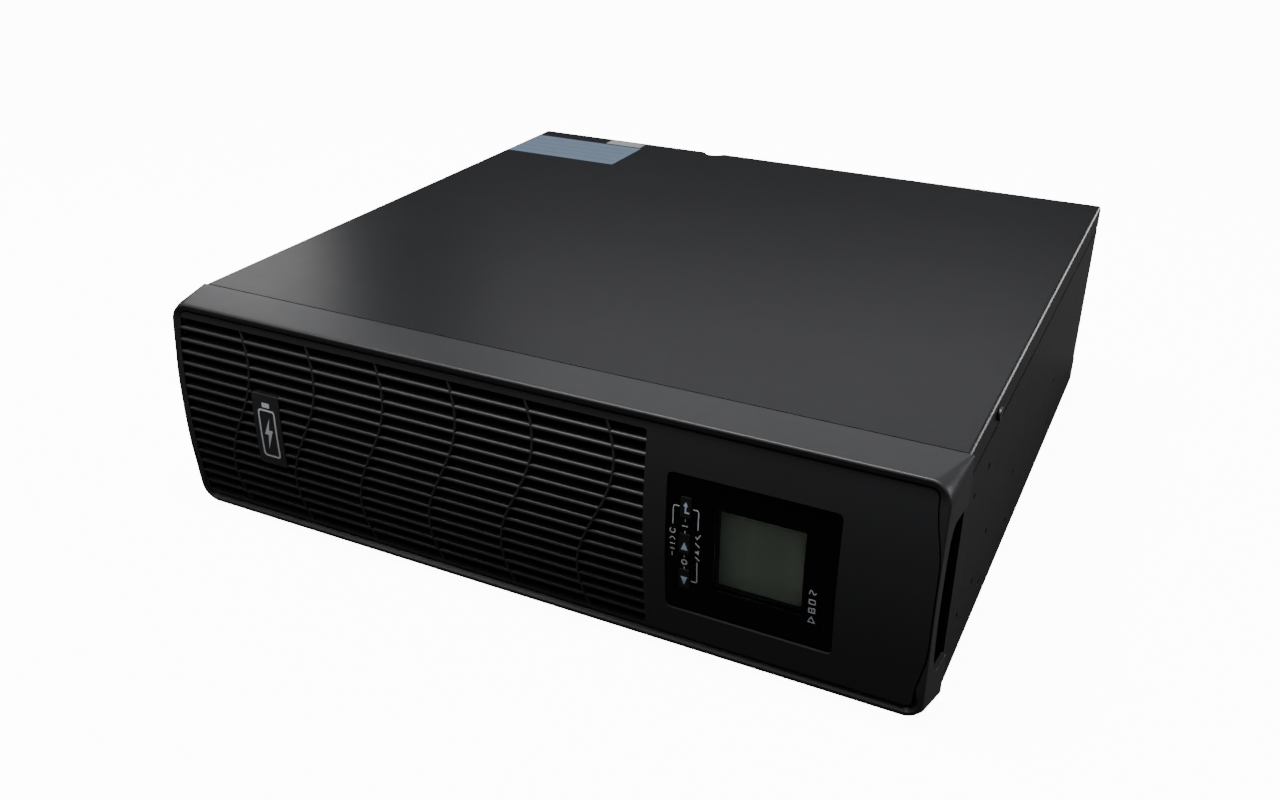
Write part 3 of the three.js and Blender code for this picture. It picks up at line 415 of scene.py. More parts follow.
def from_bmesh(name, bm, material, body, smooth=True):
    bmesh.ops.recalc_face_normals(bm, faces=bm.faces)
    mesh = bpy.data.meshes.new(name)
    bm.to_mesh(mesh)
    bm.free()
    for polygon in mesh.polygons:
        polygon.use_smooth = smooth
    return link(name, mesh, material, body)


def apply_modifiers(piece):
    """Bakes a piece's modifiers into its mesh."""
    graph = bpy.context.evaluated_depsgraph_get()
    mesh = bpy.data.meshes.new_from_object(piece.evaluated_get(graph))
    piece.modifiers.clear()
    piece.data = mesh


def soften(piece, width, segments=2, angle=32):
    """Rounds a piece's sharp edges and keeps its flat faces flat."""
    for polygon in piece.data.polygons:
        polygon.use_smooth = True
    weld = piece.modifiers.new("weld", "WELD")
    weld.merge_threshold = 0.002 * MM
    bevel = piece.modifiers.new("bevel", "BEVEL")
    bevel.width = width
    bevel.segments = segments
    bevel.limit_method = "ANGLE"
    bevel.angle_limit = math.radians(angle)
    bevel.use_clamp_overlap = True
    bevel.harden_normals = False
    normals = piece.modifiers.new("normals", "WEIGHTED_NORMAL")
    normals.keep_sharp = True
    normals.weight = 80


def lathe(bm, profile, centre, steps):
    """Adds a solid turned about Y: profile is (radius, height) from axis to axis."""
    rings = []
    for radius, height in profile:
        ring = []
        if radius < 1e-9:
            ring = [bm.verts.new(placed(0.0, 0.0, height, centre, "Y"))]
        else:
            for i in range(steps):
                a = 2 * math.pi * i / steps
                u, v = radius * math.cos(a), radius * math.sin(a)
                ring.append(bm.verts.new(placed(u, v, height, centre, "Y")))
        rings.append(ring)
    for below, above in zip(rings, rings[1:]):
        m, n = len(below), len(above)
        for i in range(steps):
            j = (i + 1) % steps
            loop = [below[i % m], below[j % m], above[j % n], above[i % n]]
            corners = list(dict.fromkeys(loop))
            if len(corners) > 2:
                bm.faces.new(corners)


def placed(u, v, height, centre, axis):
    """A point at (u, v) across the X or the Y axis and at a height along it."""
    if axis == "Y":
        return Vector((centre[0] + u, centre[1] + height, centre[2] + v))
    return Vector((centre[0] + height, centre[1] + u, centre[2] + v))


def tube_along(name, points, radius, material, body, closed=False):
    """A round wire along points, as a mesh."""
    curve = bpy.data.curves.new(name, "CURVE")
    curve.dimensions = "3D"
    curve.bevel_depth = radius
    curve.bevel_resolution = 2
    curve.use_fill_caps = not closed
    spline = curve.splines.new("POLY")
    spline.points.add(len(points) - 1)
    for at, point in zip(spline.points, points):
        at.co = (*point, 1.0)
    spline.use_cyclic_u = closed
    holder = bpy.data.objects.new(name, curve)
    bpy.context.scene.collection.objects.link(holder)
    graph = bpy.context.evaluated_depsgraph_get()
    mesh = bpy.data.meshes.new_from_object(holder.evaluated_get(graph))
    bpy.data.objects.remove(holder)
    for polygon in mesh.polygons:
        polygon.use_smooth = True
    return link(name, mesh, material, body)


def prism(bm, outline, low, high, axis="Y"):
    """Adds an extruded outline; its points are (u, v) across the axis."""
    ends = []
    for height in (low, high):
        ends.append([bm.verts.new(placed(u, v, height, (0, 0, 0), axis)) for u, v in outline])
    count = len(outline)
    for i in range(count):
        j = (i + 1) % count
        bm.faces.new((ends[0][i], ends[0][j], ends[1][j], ends[1][i]))
    bm.faces.new(ends[0])
    bm.faces.new(ends[1])


def rounded(x0, x1, z0, z1, radius, steps=6):
    """A rectangle with round corners, anticlockwise."""
    points = []
    for cx, cz, start in (
        (x1 - radius, z1 - radius, 0),
        (x0 + radius, z1 - radius, 90),
        (x0 + radius, z0 + radius, 180),
        (x1 - radius, z0 + radius, 270),
    ):
        for i in range(steps + 1):
            a = math.radians(start + 90 * i / steps)
            points.append((cx + radius * math.cos(a), cz + radius * math.sin(a)))
    return points


def cut(piece, cutter_bm):
    """Removes a closed shape from a piece."""
    bmesh.ops.recalc_face_normals(cutter_bm, faces=cutter_bm.faces)
    mesh = bpy.data.meshes.new("cutter")
    cutter_bm.to_mesh(mesh)
    cutter_bm.free()
    cutter = bpy.data.objects.new("cutter", mesh)
    bpy.context.scene.collection.objects.link(cutter)
    boolean = piece.modifiers.new("cut", "BOOLEAN")
    boolean.operation = "DIFFERENCE"
    boolean.solver = "EXACT"
    boolean.object = cutter
    apply_modifiers(piece)
    bpy.data.objects.remove(cutter)


# ---------------------------------------------------------------- CAD nodes kept as they are

# How far each kind of edge is rounded; a pressed sheet is crisper than a moulding
EDGE = {
    "painted_steel": 0.35 * MM,
    "bezel_plastic": 0.4 * MM,
    "gloss_plastic": 0.35 * MM,
    "key_plastic": 0.3 * MM,
    "black_plastic": 0.35 * MM,
    "green_plastic": 0.25 * MM,
    "battery_case": 1.2 * MM,
    "bare_steel": 0.2 * MM,
    "aluminium": 0.25 * MM,
    "copper": 2.0 * MM,
    "blue_sleeve": 1.2 * MM,
}

# Nodes whose look isn't their slot's
OWN_LOOK = {
    "top_cover": COVER_LOOK,
    "status_light_pipe": SMOKED,
    "cover_screw_left": DARK_SCREW,
    "cover_screw_right": DARK_SCREW,
    "battery_door_screw_left": DARK_SCREW,
    "battery_door_screw_right": DARK_SCREW,
}


def dress_nodes():
    for part in frame["record"]["subparts"]:
        node = frame["nodes"][part["node"]]
        slot = part["material_slot"]
        node.data.materials.clear()
        node.data.materials.append(OWN_LOOK.get(part["node"], LOOKS[slot]))
        if slot in EDGE:
            soften(node, EDGE[slot])


# ---------------------------------------------------------------- bezel frame

TOP_STEPS = 10
CORNER_STEPS = 9
SIDE_STEPS = 26


def loop_of(half, low, high, radii, side=None):
    """A closed outline in x and z, anticlockwise from the right side's middle.

    Every outline made here has the same number of points, so two can be joined point by point.
    side(z) gives x on the right side, where it isn't straight."""
    low_r, high_r = radii
    points = []
    mid = (low + high) / 2
    for i in range(SIDE_STEPS // 2):
        z = mid + (high - high_r - mid) * i / (SIDE_STEPS // 2)
        points.append((side(z) if side else half, z))
    for i in range(CORNER_STEPS):
        a = math.pi / 2 * i / CORNER_STEPS
        start = side(high - high_r) if side else half
        points.append((start - high_r + high_r * math.cos(a), high - high_r + high_r * math.sin(a)))
    edge = half - high_r if not side else side(high - high_r) - high_r
    for i in range(TOP_STEPS // 2):
        points.append((edge * (1 - i / (TOP_STEPS // 2)), high))
    quarter = list(points)
    upper = quarter + [(0.0, high)] + [(-x, z) for x, z in reversed(quarter)]
    lower = []
    for i in range(1, SIDE_STEPS // 2):
        z = mid - (mid - low - low_r) * i / (SIDE_STEPS // 2)
        lower.append((side(z) if side else half, z))
    base = side(low + low_r) if side else half
    for i in range(CORNER_STEPS + 1):
        a = math.pi / 2 * i / CORNER_STEPS
        lower.append((base - low_r + low_r * math.cos(a), low + low_r - low_r * math.sin(a)))
    for i in range(1, TOP_STEPS // 2):
        lower.append(((base - low_r) * (1 - i / (TOP_STEPS // 2)), low))
    under = [(-x, z) for x, z in lower] + [(0.0, low)] + list(reversed(lower))
    return upper + under


def hull_loop(y, inset):
    """The frame's outline at depth y, moved inwards."""
    k = min(1.0, max(0.0, (SEAM_Y - y) / BEZEL_D))
    half, low, high, radius = (
        a + (b - a) * k for a, b in (FRAME_HALF, FRAME_LOW, FRAME_HIGH, FRAME_ROUND)
    )
    radius = max(0.5 * MM, radius - inset)
    return loop_of(half - inset, low + inset, high - inset, (radius, radius))


PANEL_CORNER_X = 212.6 * MM
PANEL_WIDE_X = 217.2 * MM
PANEL_ROUND = 4.0 * MM


def panel_side(grow):
    """x of the panel's right edge: it flares towards mid-height."""
    top = PANEL_HI.z - PANEL_ROUND
    flare = 34.0 * MM

    def x_at(z):
        down = min(1.0, (top - PANEL_MID_Z - abs(z - PANEL_MID_Z)) / flare)
        bulge = 0.5 * (1 - math.cos(math.pi * down))
        return PANEL_CORNER_X + grow + (PANEL_WIDE_X - PANEL_CORNER_X) * bulge

    return x_at


def panel_loop(grow):
    radii = (PANEL_ROUND + grow, PANEL_ROUND + grow)
    return loop_of(None, PANEL_LO.z - grow, PANEL_HI.z + grow, radii, panel_side(grow))


def toward(a, b, share):
    return tuple(p + (q - p) * share for p, q in zip(a, b))


def bezel_rings():
    """Rings of points from the seam outside, over the front, into the groove and back inside."""
    rings = [[(x, SEAM_Y, z) for x, z in hull_loop(SEAM_Y, 0.3 * MM)]]
    for share in (0.012, 0.25, 0.5, 0.75):
        y = SEAM_Y - BEZEL_D * share
        rings.append([(x, y, z) for x, z in hull_loop(y, 0.0)])
    outer = hull_loop(PANEL_LO.y + 2.0 * MM, 0.0)
    lip = panel_loop(GROOVE)
    rounding = 5
    for i in range(rounding + 1):
        a = math.pi / 2 * i / rounding
        ring = []
        for o, g in zip(outer, lip):
            gap = math.dist(o, g)
            e = min(1.3 * MM, 0.45 * gap)
            x, z = toward(o, g, e * (1 - math.cos(a)) / gap)
            ring.append((x, rim_y(z) + e * (1 - math.sin(a)), z))
        rings.append(ring)
    for i in range(rounding + 1):
        t = i / rounding
        a = math.pi / 2 * t
        ring = []
        for o, g in zip(outer, lip):
            gap = math.dist(o, g)
            # Low down, the lip's inner edge is a broad chamfer that faces up
            low_edge = max(0.0, min(1.0, (26 * MM - g[1]) / (12 * MM)))
            e = min(0.3 * MM + 2.9 * MM * low_edge, 0.55 * gap)
            inward = (1 - low_edge) * (1 - math.sin(a)) + low_edge * (1 - t)
            back = (1 - low_edge) * (1 - math.cos(a)) + 1.2 * low_edge * t
            x, z = toward(g, o, e * inward / gap)
            near = 1 - math.dist((x, z), g) / gap
            front = max(rim_y(z), rim_y(z) + near * (panel_y(z) + LIP_SET_BACK - rim_y(z)))
            ring.append((x, (rim_y(z) if low_edge else front) + e * back, z))
        rings.append(ring)
    rings.append([(x, panel_y(z) + GROOVE_DEPTH, z) for x, z in lip])
    ledge = panel_loop(-1.2 * MM)
    rings.append([(x, panel_y(z) + PANEL_T + 0.4 * MM, z) for x, z in ledge])
    rings.append([(x, panel_y(z) + PANEL_T + 2.2 * MM, z) for x, z in ledge])
    for share in (0.6, 0.3, 0.0):
        y = SEAM_Y - BEZEL_D * share
        rings.append([(x, y, z) for x, z in hull_loop(y, WALL)])
    return rings


def ring_mesh(bm, rings, closed=True):
    """Joins rings of points in order: the last to the first, or with a flat face at each end."""
    rows = [[bm.verts.new(p) for p in ring] for ring in rings]
    count = len(rows[0])
    for a, b in zip(rows, rows[1:] + (rows[:1] if closed else [])):
        for i in range(count):
            j = (i + 1) % count
            bm.faces.new((a[i], a[j], b[j], b[i]))
    if not closed:
        bm.faces.new(rows[0])
        bm.faces.new(rows[-1])


def grip_outline():
    """The finger opening in each side, in y and z: open at the seam and bowed in front."""
    front = [(-11, 25), (-15.5, 25.7), (-19, 28), (-21.5, 33), (-23, 40), (-24.4, 54)]
    front += [(-24.8, 66), (-24.4, 80), (-23.6, 92), (-22.4, 100), (-20, 105)]
    front += [(-17, 106.8), (-13, 107)]
    points = [(2, 25), *front, (2, 107)]
    return [(SEAM_Y + y * MM, z * MM) for y, z in points]


def make_bezel():
    bm = bmesh.new()
    ring_mesh(bm, bezel_rings())
    bezel = from_bmesh("bezel_surround", bm, LOOKS["bezel_plastic"], "bezel")
    cutter = bmesh.new()
    prism(cutter, grip_outline(), -0.24, 0.24, "X")
    cut(bezel, cutter)
    soften(bezel, 0.5 * MM, 3, 40)
    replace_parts(bezel, "bezel_frame")


# ---------------------------------------------------------------- front panel and grille


def filled_plate(name, outlines):
    """A flat mesh in x and z of an outline with holes."""
    curve = bpy.data.curves.new(name, "CURVE")
    curve.dimensions = "2D"
    curve.fill_mode = "BOTH"
    for outline in outlines:
        spline = curve.splines.new("POLY")
        spline.points.add(len(outline) - 1)
        for at, (x, z) in zip(spline.points, outline):
            at.co = (x, z, 0.0, 1.0)
        spline.use_cyclic_u = True
    holder = bpy.data.objects.new(name, curve)
    bpy.context.scene.collection.objects.link(holder)
    graph = bpy.context.evaluated_depsgraph_get()
    mesh = bpy.data.meshes.new_from_object(holder.evaluated_get(graph))
    bpy.data.objects.remove(holder)
    bm = bmesh.new()
    bm.from_mesh(mesh)
    bpy.data.meshes.remove(mesh)
    bmesh.ops.remove_doubles(bm, verts=bm.verts, dist=0.001 * MM)
    return bm


def crowned_plate(name, outlines, surface, thickness, low, high, step=4.0 * MM):
    """A plate bent to surface(z), with its back at the same depth behind it everywhere."""
    bm = filled_plate(name, outlines)
    z = low + step
    while z < high:
        geometry = bm.verts[:] + bm.edges[:] + bm.faces[:]
        bmesh.ops.bisect_plane(bm, geom=geometry, plane_co=(0, z, 0), plane_no=(0, 1, 0), dist=1e-7)
        z += step
    back = bmesh.ops.duplicate(bm, geom=bm.verts[:] + bm.edges[:] + bm.faces[:])
    twin = {a: b for a, b in back["vert_map"].items() if isinstance(a, bmesh.types.BMVert)}
    back_faces = [f for f in back["geom"] if isinstance(f, bmesh.types.BMFace)]
    back_verts = {v for v in back["geom"] if isinstance(v, bmesh.types.BMVert)}
    rims = [e for e in bm.edges if e.is_boundary and e.verts[0] not in back_verts]
    for edge in rims:
        a, b = edge.verts
        bm.faces.new((a, b, twin[b], twin[a]))
    bmesh.ops.reverse_faces(bm, faces=back_faces)
    for vert in bm.verts:
        x, z = vert.co.x, vert.co.y
        vert.co = (x, surface(z) + (thickness if vert in back_verts else 0.0), z)
    return bm


def make_front_panel():
    grille = rounded(GRILLE[0], GRILLE[1], GRILLE[2], GRILLE[3], 1.5 * MM)
    pocket = rounded(
        DISPLAY_LO.x - GROOVE,
        DISPLAY_HI.x + GROOVE,
        DISPLAY_LO.z - GROOVE,
        DISPLAY_HI.z + GROOVE,
        3.0 * MM,
    )
    bm = crowned_plate(
        "panel", [panel_loop(0.0), grille, pocket], panel_y, PANEL_T, PANEL_LO.z, PANEL_HI.z
    )
    panel = from_bmesh("front_panel_skin", bm, LOOKS["bezel_plastic"], "bezel")
    soften(panel, 0.45 * MM, 3, 40)
    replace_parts(panel, "front_panel")


BADGE_LO, BADGE_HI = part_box("badge_plate")
BADGE_GAP = 0.2 * MM


def make_slats():
    """Louvre blades with a round nose that climb a little to the rear."""
    bm = bmesh.new()
    depth, climb, nose, behind_badge = 7.0 * MM, 1.4 * MM, SLAT_T / 2, 1.6 * MM

    def blade(z, front, low, high):
        rear = panel_y(z) + depth
        outline = [(rear, z + climb - nose), (rear, z + climb + nose)]
        for k in range(7):
            a = math.pi / 2 + math.pi * k / 6
            outline.append((front + nose + nose * math.cos(a), z + nose * math.sin(a)))
        prism(bm, outline, low, high, "X")

    left, right = GRILLE[0] - 1.0 * MM, GRILLE[1] + 1.0 * MM
    for i in range(SLATS):
        z = SLAT_TOP - i * SLAT_PITCH - nose
        y = panel_y(z)
        if BADGE_LO.z - nose < z < BADGE_HI.z + nose:
            blade(z, y, left, BADGE_LO.x - BADGE_GAP)
            blade(z, y + behind_badge, BADGE_LO.x - BADGE_GAP, BADGE_HI.x + BADGE_GAP)
            blade(z, y, BADGE_HI.x + BADGE_GAP, right)
        else:
            blade(z, y, left, right)
    slats = from_bmesh("grille_slats", bm, LOOKS["bezel_plastic"], "bezel")
    soften(slats, 0.12 * MM, 1, 60)


def make_ribs():
    """Upright ribs that weave from side to side, set back a hair from the blades' fronts."""
    bm = bmesh.new()
    steps, depth = 72, 5.0 * MM
    for r in range(RIBS):
        middle = RIB_FIRST + r * RIB_PITCH
        rings = []
        for i in range(steps + 1):
            z = GRILLE[2] - 1.0 * MM + (GRILLE[3] - GRILLE[2] + 2.0 * MM) * i / steps
            turn = 2 * math.pi * (z - PANEL_MID_Z) / WEAVE_WAVE
            x, y = middle + WEAVE * math.sin(turn), panel_y(z)
            lean = WEAVE * 2 * math.pi / WEAVE_WAVE * math.cos(turn)
            half = RIB_W / 2 * math.hypot(1.0, lean)
            section = [(-1, 5), (-1, 0.5), (-0.6, 0.12), (0, 0), (0.6, 0.12), (1, 0.5), (1, 5)]
            rings.append([(x + u * half, y + v / 5 * depth + RIB_SET_BACK, z) for u, v in section])
        ring_mesh(bm, rings, closed=False)
    ribs = from_bmesh("grille_ribs", bm, LOOKS["bezel_plastic"], "bezel")
    ribs.data.set_sharp_from_angle(angle=math.radians(50))


def make_pocket():
    """The walls behind the left finger opening: one behind the blades, one on the inner side."""
    steps = 24
    outer, edge, groove, inner, wall = (x * MM for x in (-217.4, -214.7, -210.5, -199.5, 1.4))
    rear = SEAM_Y - 2.0 * MM
    rings = []
    for i in range(steps + 1):
        z = GRILLE[2] + (GRILLE[3] - GRILLE[2]) * i / steps
        y = panel_y(z)
        section = [
            (outer, y + 9.0 * MM),
            (outer, y + 6.2 * MM),
            (edge, y + 6.2 * MM),
            (edge, y + 8.2 * MM),
            (groove, y + 8.2 * MM),
            (groove, y + 6.6 * MM),
            (inner, y + 6.6 * MM),
            (inner, rear),
            (inner - wall, rear),
            (inner - wall, y + 9.0 * MM),
        ]
        rings.append([(u, v, z) for u, v in section])
    bm = bmesh.new()
    ring_mesh(bm, rings, closed=False)
    from_bmesh("grip_pocket", bm, LOOKS["bezel_plastic"], "bezel", smooth=False)


# ---------------------------------------------------------------- badge and printed legends

INK_LIFT = 0.04 * MM
INK_T = 0.09 * MM
# Centre of the badge's pictogram, and the legends' columns, in mm
BATTERY_SIGN = (-155.0, 66.0)
LEGEND_X = 91.8
BRACKET_X = 104.8
STATUS_X = 160.9


def stroke(points, width):
    """The outline of a line of that width through points, in mm."""
    normals = []
    for (x0, z0), (x1, z1) in zip(points, points[1:]):
        run = math.hypot(x1 - x0, z1 - z0)
        normals.append(((z0 - z1) / run, (x1 - x0) / run))
    sides = ([], [])
    for i, (x, z) in enumerate(points):
        a, b = normals[max(0, i - 1)], normals[min(len(normals) - 1, i)]
        share = width / 2 / max(0.4, 1 + a[0] * b[0] + a[1] * b[1])
        dx, dz = (a[0] + b[0]) * share, (a[1] + b[1]) * share
        sides[0].append((x + dx, z + dz))
        sides[1].append((x - dx, z - dz))
    return sides[0] + sides[1][::-1]


def arc(centre, radius, start, end, steps=12):
    """Points on a circle, in mm; angles in degrees, anticlockwise from the right."""
    angles = [math.radians(start + (end - start) * i / steps) for i in range(steps + 1)]
    return [(centre[0] + radius * math.cos(a), centre[1] + radius * math.sin(a)) for a in angles]


def printed(name, outlines, surface, material, body):
    """Ink on a crowned surface, from outlines in mm."""
    shapes = [[(x * MM, z * MM) for x, z in outline] for outline in outlines]
    low = min(z for shape in shapes for _, z in shape)
    high = max(z for shape in shapes for _, z in shape)
    bm = crowned_plate(name, shapes, lambda z: surface(z) - INK_LIFT, INK_T, low, high)
    return from_bmesh(name, bm, material, body, smooth=False)


def badge_y(z):
    """The badge's face, just far enough back for its print to be flush with the blades."""
    return panel_y(z) + INK_LIFT


def make_badge():
    """A plain badge with a generic battery pictogram."""
    outline = rounded(BADGE_LO.x, BADGE_HI.x, BADGE_LO.z, BADGE_HI.z, 0.6 * MM)
    bm = crowned_plate("badge", [outline], badge_y, 1.2 * MM, BADGE_LO.z, BADGE_HI.z)
    badge = from_bmesh("badge_blank", bm, LOOKS["bezel_plastic"], "bezel")
    soften(badge, 0.2 * MM, 2, 40)
    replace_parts(badge, "badge_plate")
    x, z = BATTERY_SIGN
    shell = rounded(x - 6, x + 6, z - 16, z + 14, 2.2)
    hollow = rounded(x - 4.9, x + 4.9, z - 14.9, z + 12.9, 1.3)
    cap = rounded(x - 2.6, x + 2.6, z + 15.2, z + 18, 0.6)
    bolt = [(x + 1.6, z + 9), (x - 3.0, z - 1.6), (x - 0.3, z - 1.6)]
    bolt += [(x - 1.6, z - 11), (x + 3.0, z + 1.2), (x + 0.3, z + 1.2)]
    printed("badge_pictogram", [shell, hollow, cap, bolt], badge_y, PRINT, "bezel")


def make_legends():
    line = 0.5
    k = KEY_X / MM
    wave = [(161.0 + 0.4 * i, 60.4 + 1.1 * math.sin(i * math.pi / 4)) for i in range(1, 9)]
    strokes = [
        # brackets that tie the keys' second functions together
        [(k - 3.4, 87.5), (LEGEND_X + 0.9, 87.5), (LEGEND_X + 0.25, 87.2)]
        + [(LEGEND_X, 86.4), (LEGEND_X, 77.4)],
        [(k + 3.5, 87.3), (104.0, 87.3), (104.6, 86.9), (BRACKET_X, 86.2), (BRACKET_X, 76.9)],
        [(k + 3.5, 46.8), (104.0, 46.8), (104.6, 47.2), (BRACKET_X, 47.9), (BRACKET_X, 58.6)],
        # on, with its dashes
        [(k, 81.2), (k, 80.0)],
        [(k - 1.5, 77.4), (k + 1.5, 77.4)],
        [(k, 74.8), (k, 73.6)],
        # off, with its dashes
        [(k, 61.2), (k, 60.0)],
        [(k, 54.4), (k, 53.2)],
        # turn, tick and slashed pictograms in place of words
        arc((LEGEND_X, 73.6), 1.35, 120, 410),
        arc((LEGEND_X, 68.6), 1.25, 0, 180, 8),
        [(90.5, 66.2), (93.1, 66.2)],
        [(90.6, 63.4), (93.0, 63.4)],
        [(LEGEND_X, 61.6), (LEGEND_X, 59.2)],
        [(103.6, 73.2), (104.6, 72.0), (106.2, 74.6)],
        [(103.8, 69.6), (105.9, 67.6)],
        [(103.7, 62.0), (106.0, 60.2)],
        # sine wave: running from the mains
        [(161.0, 59.2), *wave],
        # fault
        [(STATUS_X, 43.2), (164.3, 43.2), (162.6, 46.4), (161.1, 43.6)],
    ]
    shapes = [stroke(points, line) for points in strokes]
    shapes += [arc((k, 57.2), 1.6, 0, 345, 23), arc((k, 57.2), 1.0, 0, 345, 23)]
    # battery, then load
    shapes += [rounded(STATUS_X, 164.3, 53.6, 56.4, 0.4)]
    shapes += [rounded(161.4, 163.8, 54.1, 55.9, 0.2)]
    shapes += [rounded(STATUS_X, 164.3, 48.6, 51.6, 0.4)]
    shapes += [rounded(161.5, 162.4, 49.2, 51.0, 0.1), rounded(162.8, 163.7, 49.2, 51.0, 0.1)]
    # loudspeaker
    horn = [(103.8, 65.0), (104.5, 65.0), (105.6, 66.0)]
    horn += [(105.6, 63.2), (104.5, 64.2), (103.8, 64.2)]
    shapes += [horn]
    printed("display_legends", shapes, face_y, PRINT, "bezel")

    # the dark frame round the liquid crystal, seen past the window's sill
    frame_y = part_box("lcd_glass")[0].y - 0.35 * MM
    edge = rounded(110 * MM, 160 * MM, 42 * MM, 94 * MM, 0.5 * MM)
    sight = rounded(114.6 * MM, 158.2 * MM, 47.6 * MM, 92.5 * MM, 0.4 * MM)
    low, high, whole = 42 * MM, 94 * MM, 90 * MM
    bm = crowned_plate("frame", [edge, sight], lambda z: frame_y, 0.25 * MM, low, high, whole)
    from_bmesh("lcd_frame", bm, LOOKS["black_plastic"], "bezel", smooth=False)

    def cap_face(z):
        return face_y(z) - 0.4 * MM

    arrow = [(k + 2.0, 84.6), (k + 2.0, 85.4), (k + 0.45, 85.4), (k + 0.45, 88.2)]
    arrow += [(k + 1.2, 88.2), (k, 90.6), (k - 1.2, 88.2), (k - 0.45, 88.2), (k - 0.45, 84.6)]
    up = [[(k - 1.8, 64.4), (k + 1.8, 64.4), (k, 68.9)]]
    down = [[(k - 1.8, 48.7), (k, 44.0), (k + 1.8, 48.7)]]
    for name, shape, body in (
        ("key_enter_glyph", [arrow], "enter_key"),
        ("key_up_glyph", up, "up_key"),
        ("key_down_glyph", down, "down_key"),
    ):
        printed(name, shape, cap_face, PRINT_BLUE, body)


# ---------------------------------------------------------------- rear pieces

FANS = {
    "left": (-168.0 * MM, 68.0 * MM),
    "right": (-80.0 * MM, 68.0 * MM),
}
FAN_SCREW = 35.75 * MM
GUARD_RADII = (9, 17, 25, 33)
GUARD_WIRE = 0.75 * MM
BLADES = 7


def ring_points(x, y, z, radius, steps=40):
    turns = [2 * math.pi * i / steps for i in range(steps)]
    return [(x + radius * math.cos(a), y, z + radius * math.sin(a)) for a in turns]


def joined(name, pieces, body):
    """Makes one piece of several that share a material."""
    bm = bmesh.new()
    material = pieces[0].data.materials[0]
    for piece in pieces:
        bm.from_mesh(piece.data)
        bpy.data.objects.remove(piece)
    mesh = bpy.data.meshes.new(name)
    bm.to_mesh(mesh)
    bm.free()
    for polygon in mesh.polygons:
        polygon.use_smooth = True
    return link(name, mesh, material, body)


def make_guard(side, x, z):
    """Round wire: rings on two crossed wires that step down to an eye round each screw."""
    node = "fan_%s_guard" % side
    face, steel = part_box(node)[0].y, LOOKS["bare_steel"]
    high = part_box(node)[1].y - GUARD_WIRE
    wires = []
    for k, radius in enumerate(GUARD_RADII):
        points = ring_points(x, high, z, radius * MM)
        wires.append(tube_along("guard_ring%d" % k, points, GUARD_WIRE, steel, "case", True))
    low = face + GUARD_WIRE
    # An arm's radius in mm and y, from the guard's centre out to its screw
    arm = (
        (0.0, high - 1.3 * MM),
        (33.5, high - 1.3 * MM),
        (37.0, high - 1.5 * MM),
        (40.5, low + 0.6 * MM),
        (44.0, low),
        (47.0, low),
    )
    for k in range(4):
        a = math.pi / 4 + k * math.pi / 2
        out = Vector((math.cos(a), 0, math.sin(a)))
        line = [Vector((x, y, z)) + out * radius * MM for radius, y in arm]
        wires.append(tube_along("guard_arm%d" % k, line, GUARD_WIRE, steel, "case"))
        eye = Vector((x, low, z)) + out * FAN_SCREW * math.sqrt(2)
        points = ring_points(eye.x, low, eye.z, 3.2 * MM, 20)
        wires.append(tube_along("guard_eye%d" % k, points, GUARD_WIRE, steel, "case", True))
    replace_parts(joined("fan_guard_wire_" + side, wires, "case"), node)


def make_rotor(side, x, z):
    """A hub with curved blades that sweep forwards and thin towards their tips."""
    node = "fan_%s_rotor" % side
    low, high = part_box(node)
    depth = high.y - low.y
    bm = bmesh.new()
    dome = [(0, 0), (11, 0), (14.6, 0.4), (15.8, 1.6), (16, 3)]
    dome += [(16, 15.2), (15.5, 16.3), (14.4, 17), (0, 17)]
    lathe(bm, [(r * MM, h * MM * depth / (17 * MM)) for r, h in dome], (x, low.y, z), 40)
    radial, chord = 8, 7
    tip = 34.3 * MM
    for blade in range(BLADES):
        grids = []
        for skin in (-1, 1):
            grid = []
            for i in range(radial + 1):
                r = 15.0 * MM + (tip - 15.0 * MM) * i / radial
                row = []
                for j in range(chord + 1):
                    t = j / chord
                    turn = 2 * math.pi * blade / BLADES + 0.34 * (i / radial) ** 1.5 + (t - 0.5) * 0.62
                    rise = depth * (0.1 + 0.8 * t) + 1.6 * MM * math.sin(math.pi * t)
                    half = (0.75 - 0.3 * i / radial) * MM * (0.45 + 0.55 * math.sin(math.pi * t))
                    y = min(high.y - 0.1 * MM, low.y + rise + skin * half)
                    row.append(bm.verts.new((x + r * math.cos(turn), y, z + r * math.sin(turn))))
                grid.append(row)
            grids.append(grid)
        for grid in grids:
            for a, b in zip(grid, grid[1:]):
                for j in range(chord):
                    bm.faces.new((a[j], a[j + 1], b[j + 1], b[j]))
        under, over = grids
        border = [(i, 0) for i in range(radial)] + [(radial, j) for j in range(chord)]
        border += [(i, chord) for i in range(radial, 0, -1)] + [(0, j) for j in range(chord, 0, -1)]
        for (i, j), (m, n) in zip(border, border[1:] + border[:1]):
            bm.faces.new((under[i][j], under[m][n], over[m][n], over[i][j]))
    rotor = from_bmesh(
        "fan_blades_" + side, bm, LOOKS["black_plastic"], side + "_rotor"
    )
    rotor.data.set_sharp_from_angle(angle=math.radians(38))
    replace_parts(rotor, node)


# A pan head's radius and height, and the outline of its cross, in mm
SCREW_HEAD = ((0, 0), (2.3, 0), (2.3, 0.9), (2.25, 1.7), (1.8, 2.3), (1.0, 2.6), (0, 2.7))
SCREW_CROSS = (
    (-1.4, -0.3), (-0.3, -0.3), (-0.3, -1.4), (0.3, -1.4), (0.3, -0.3), (1.4, -0.3),
    (1.4, 0.3), (0.3, 0.3), (0.3, 1.4), (-0.3, 1.4), (-0.3, 0.3), (-1.4, 0.3),
)


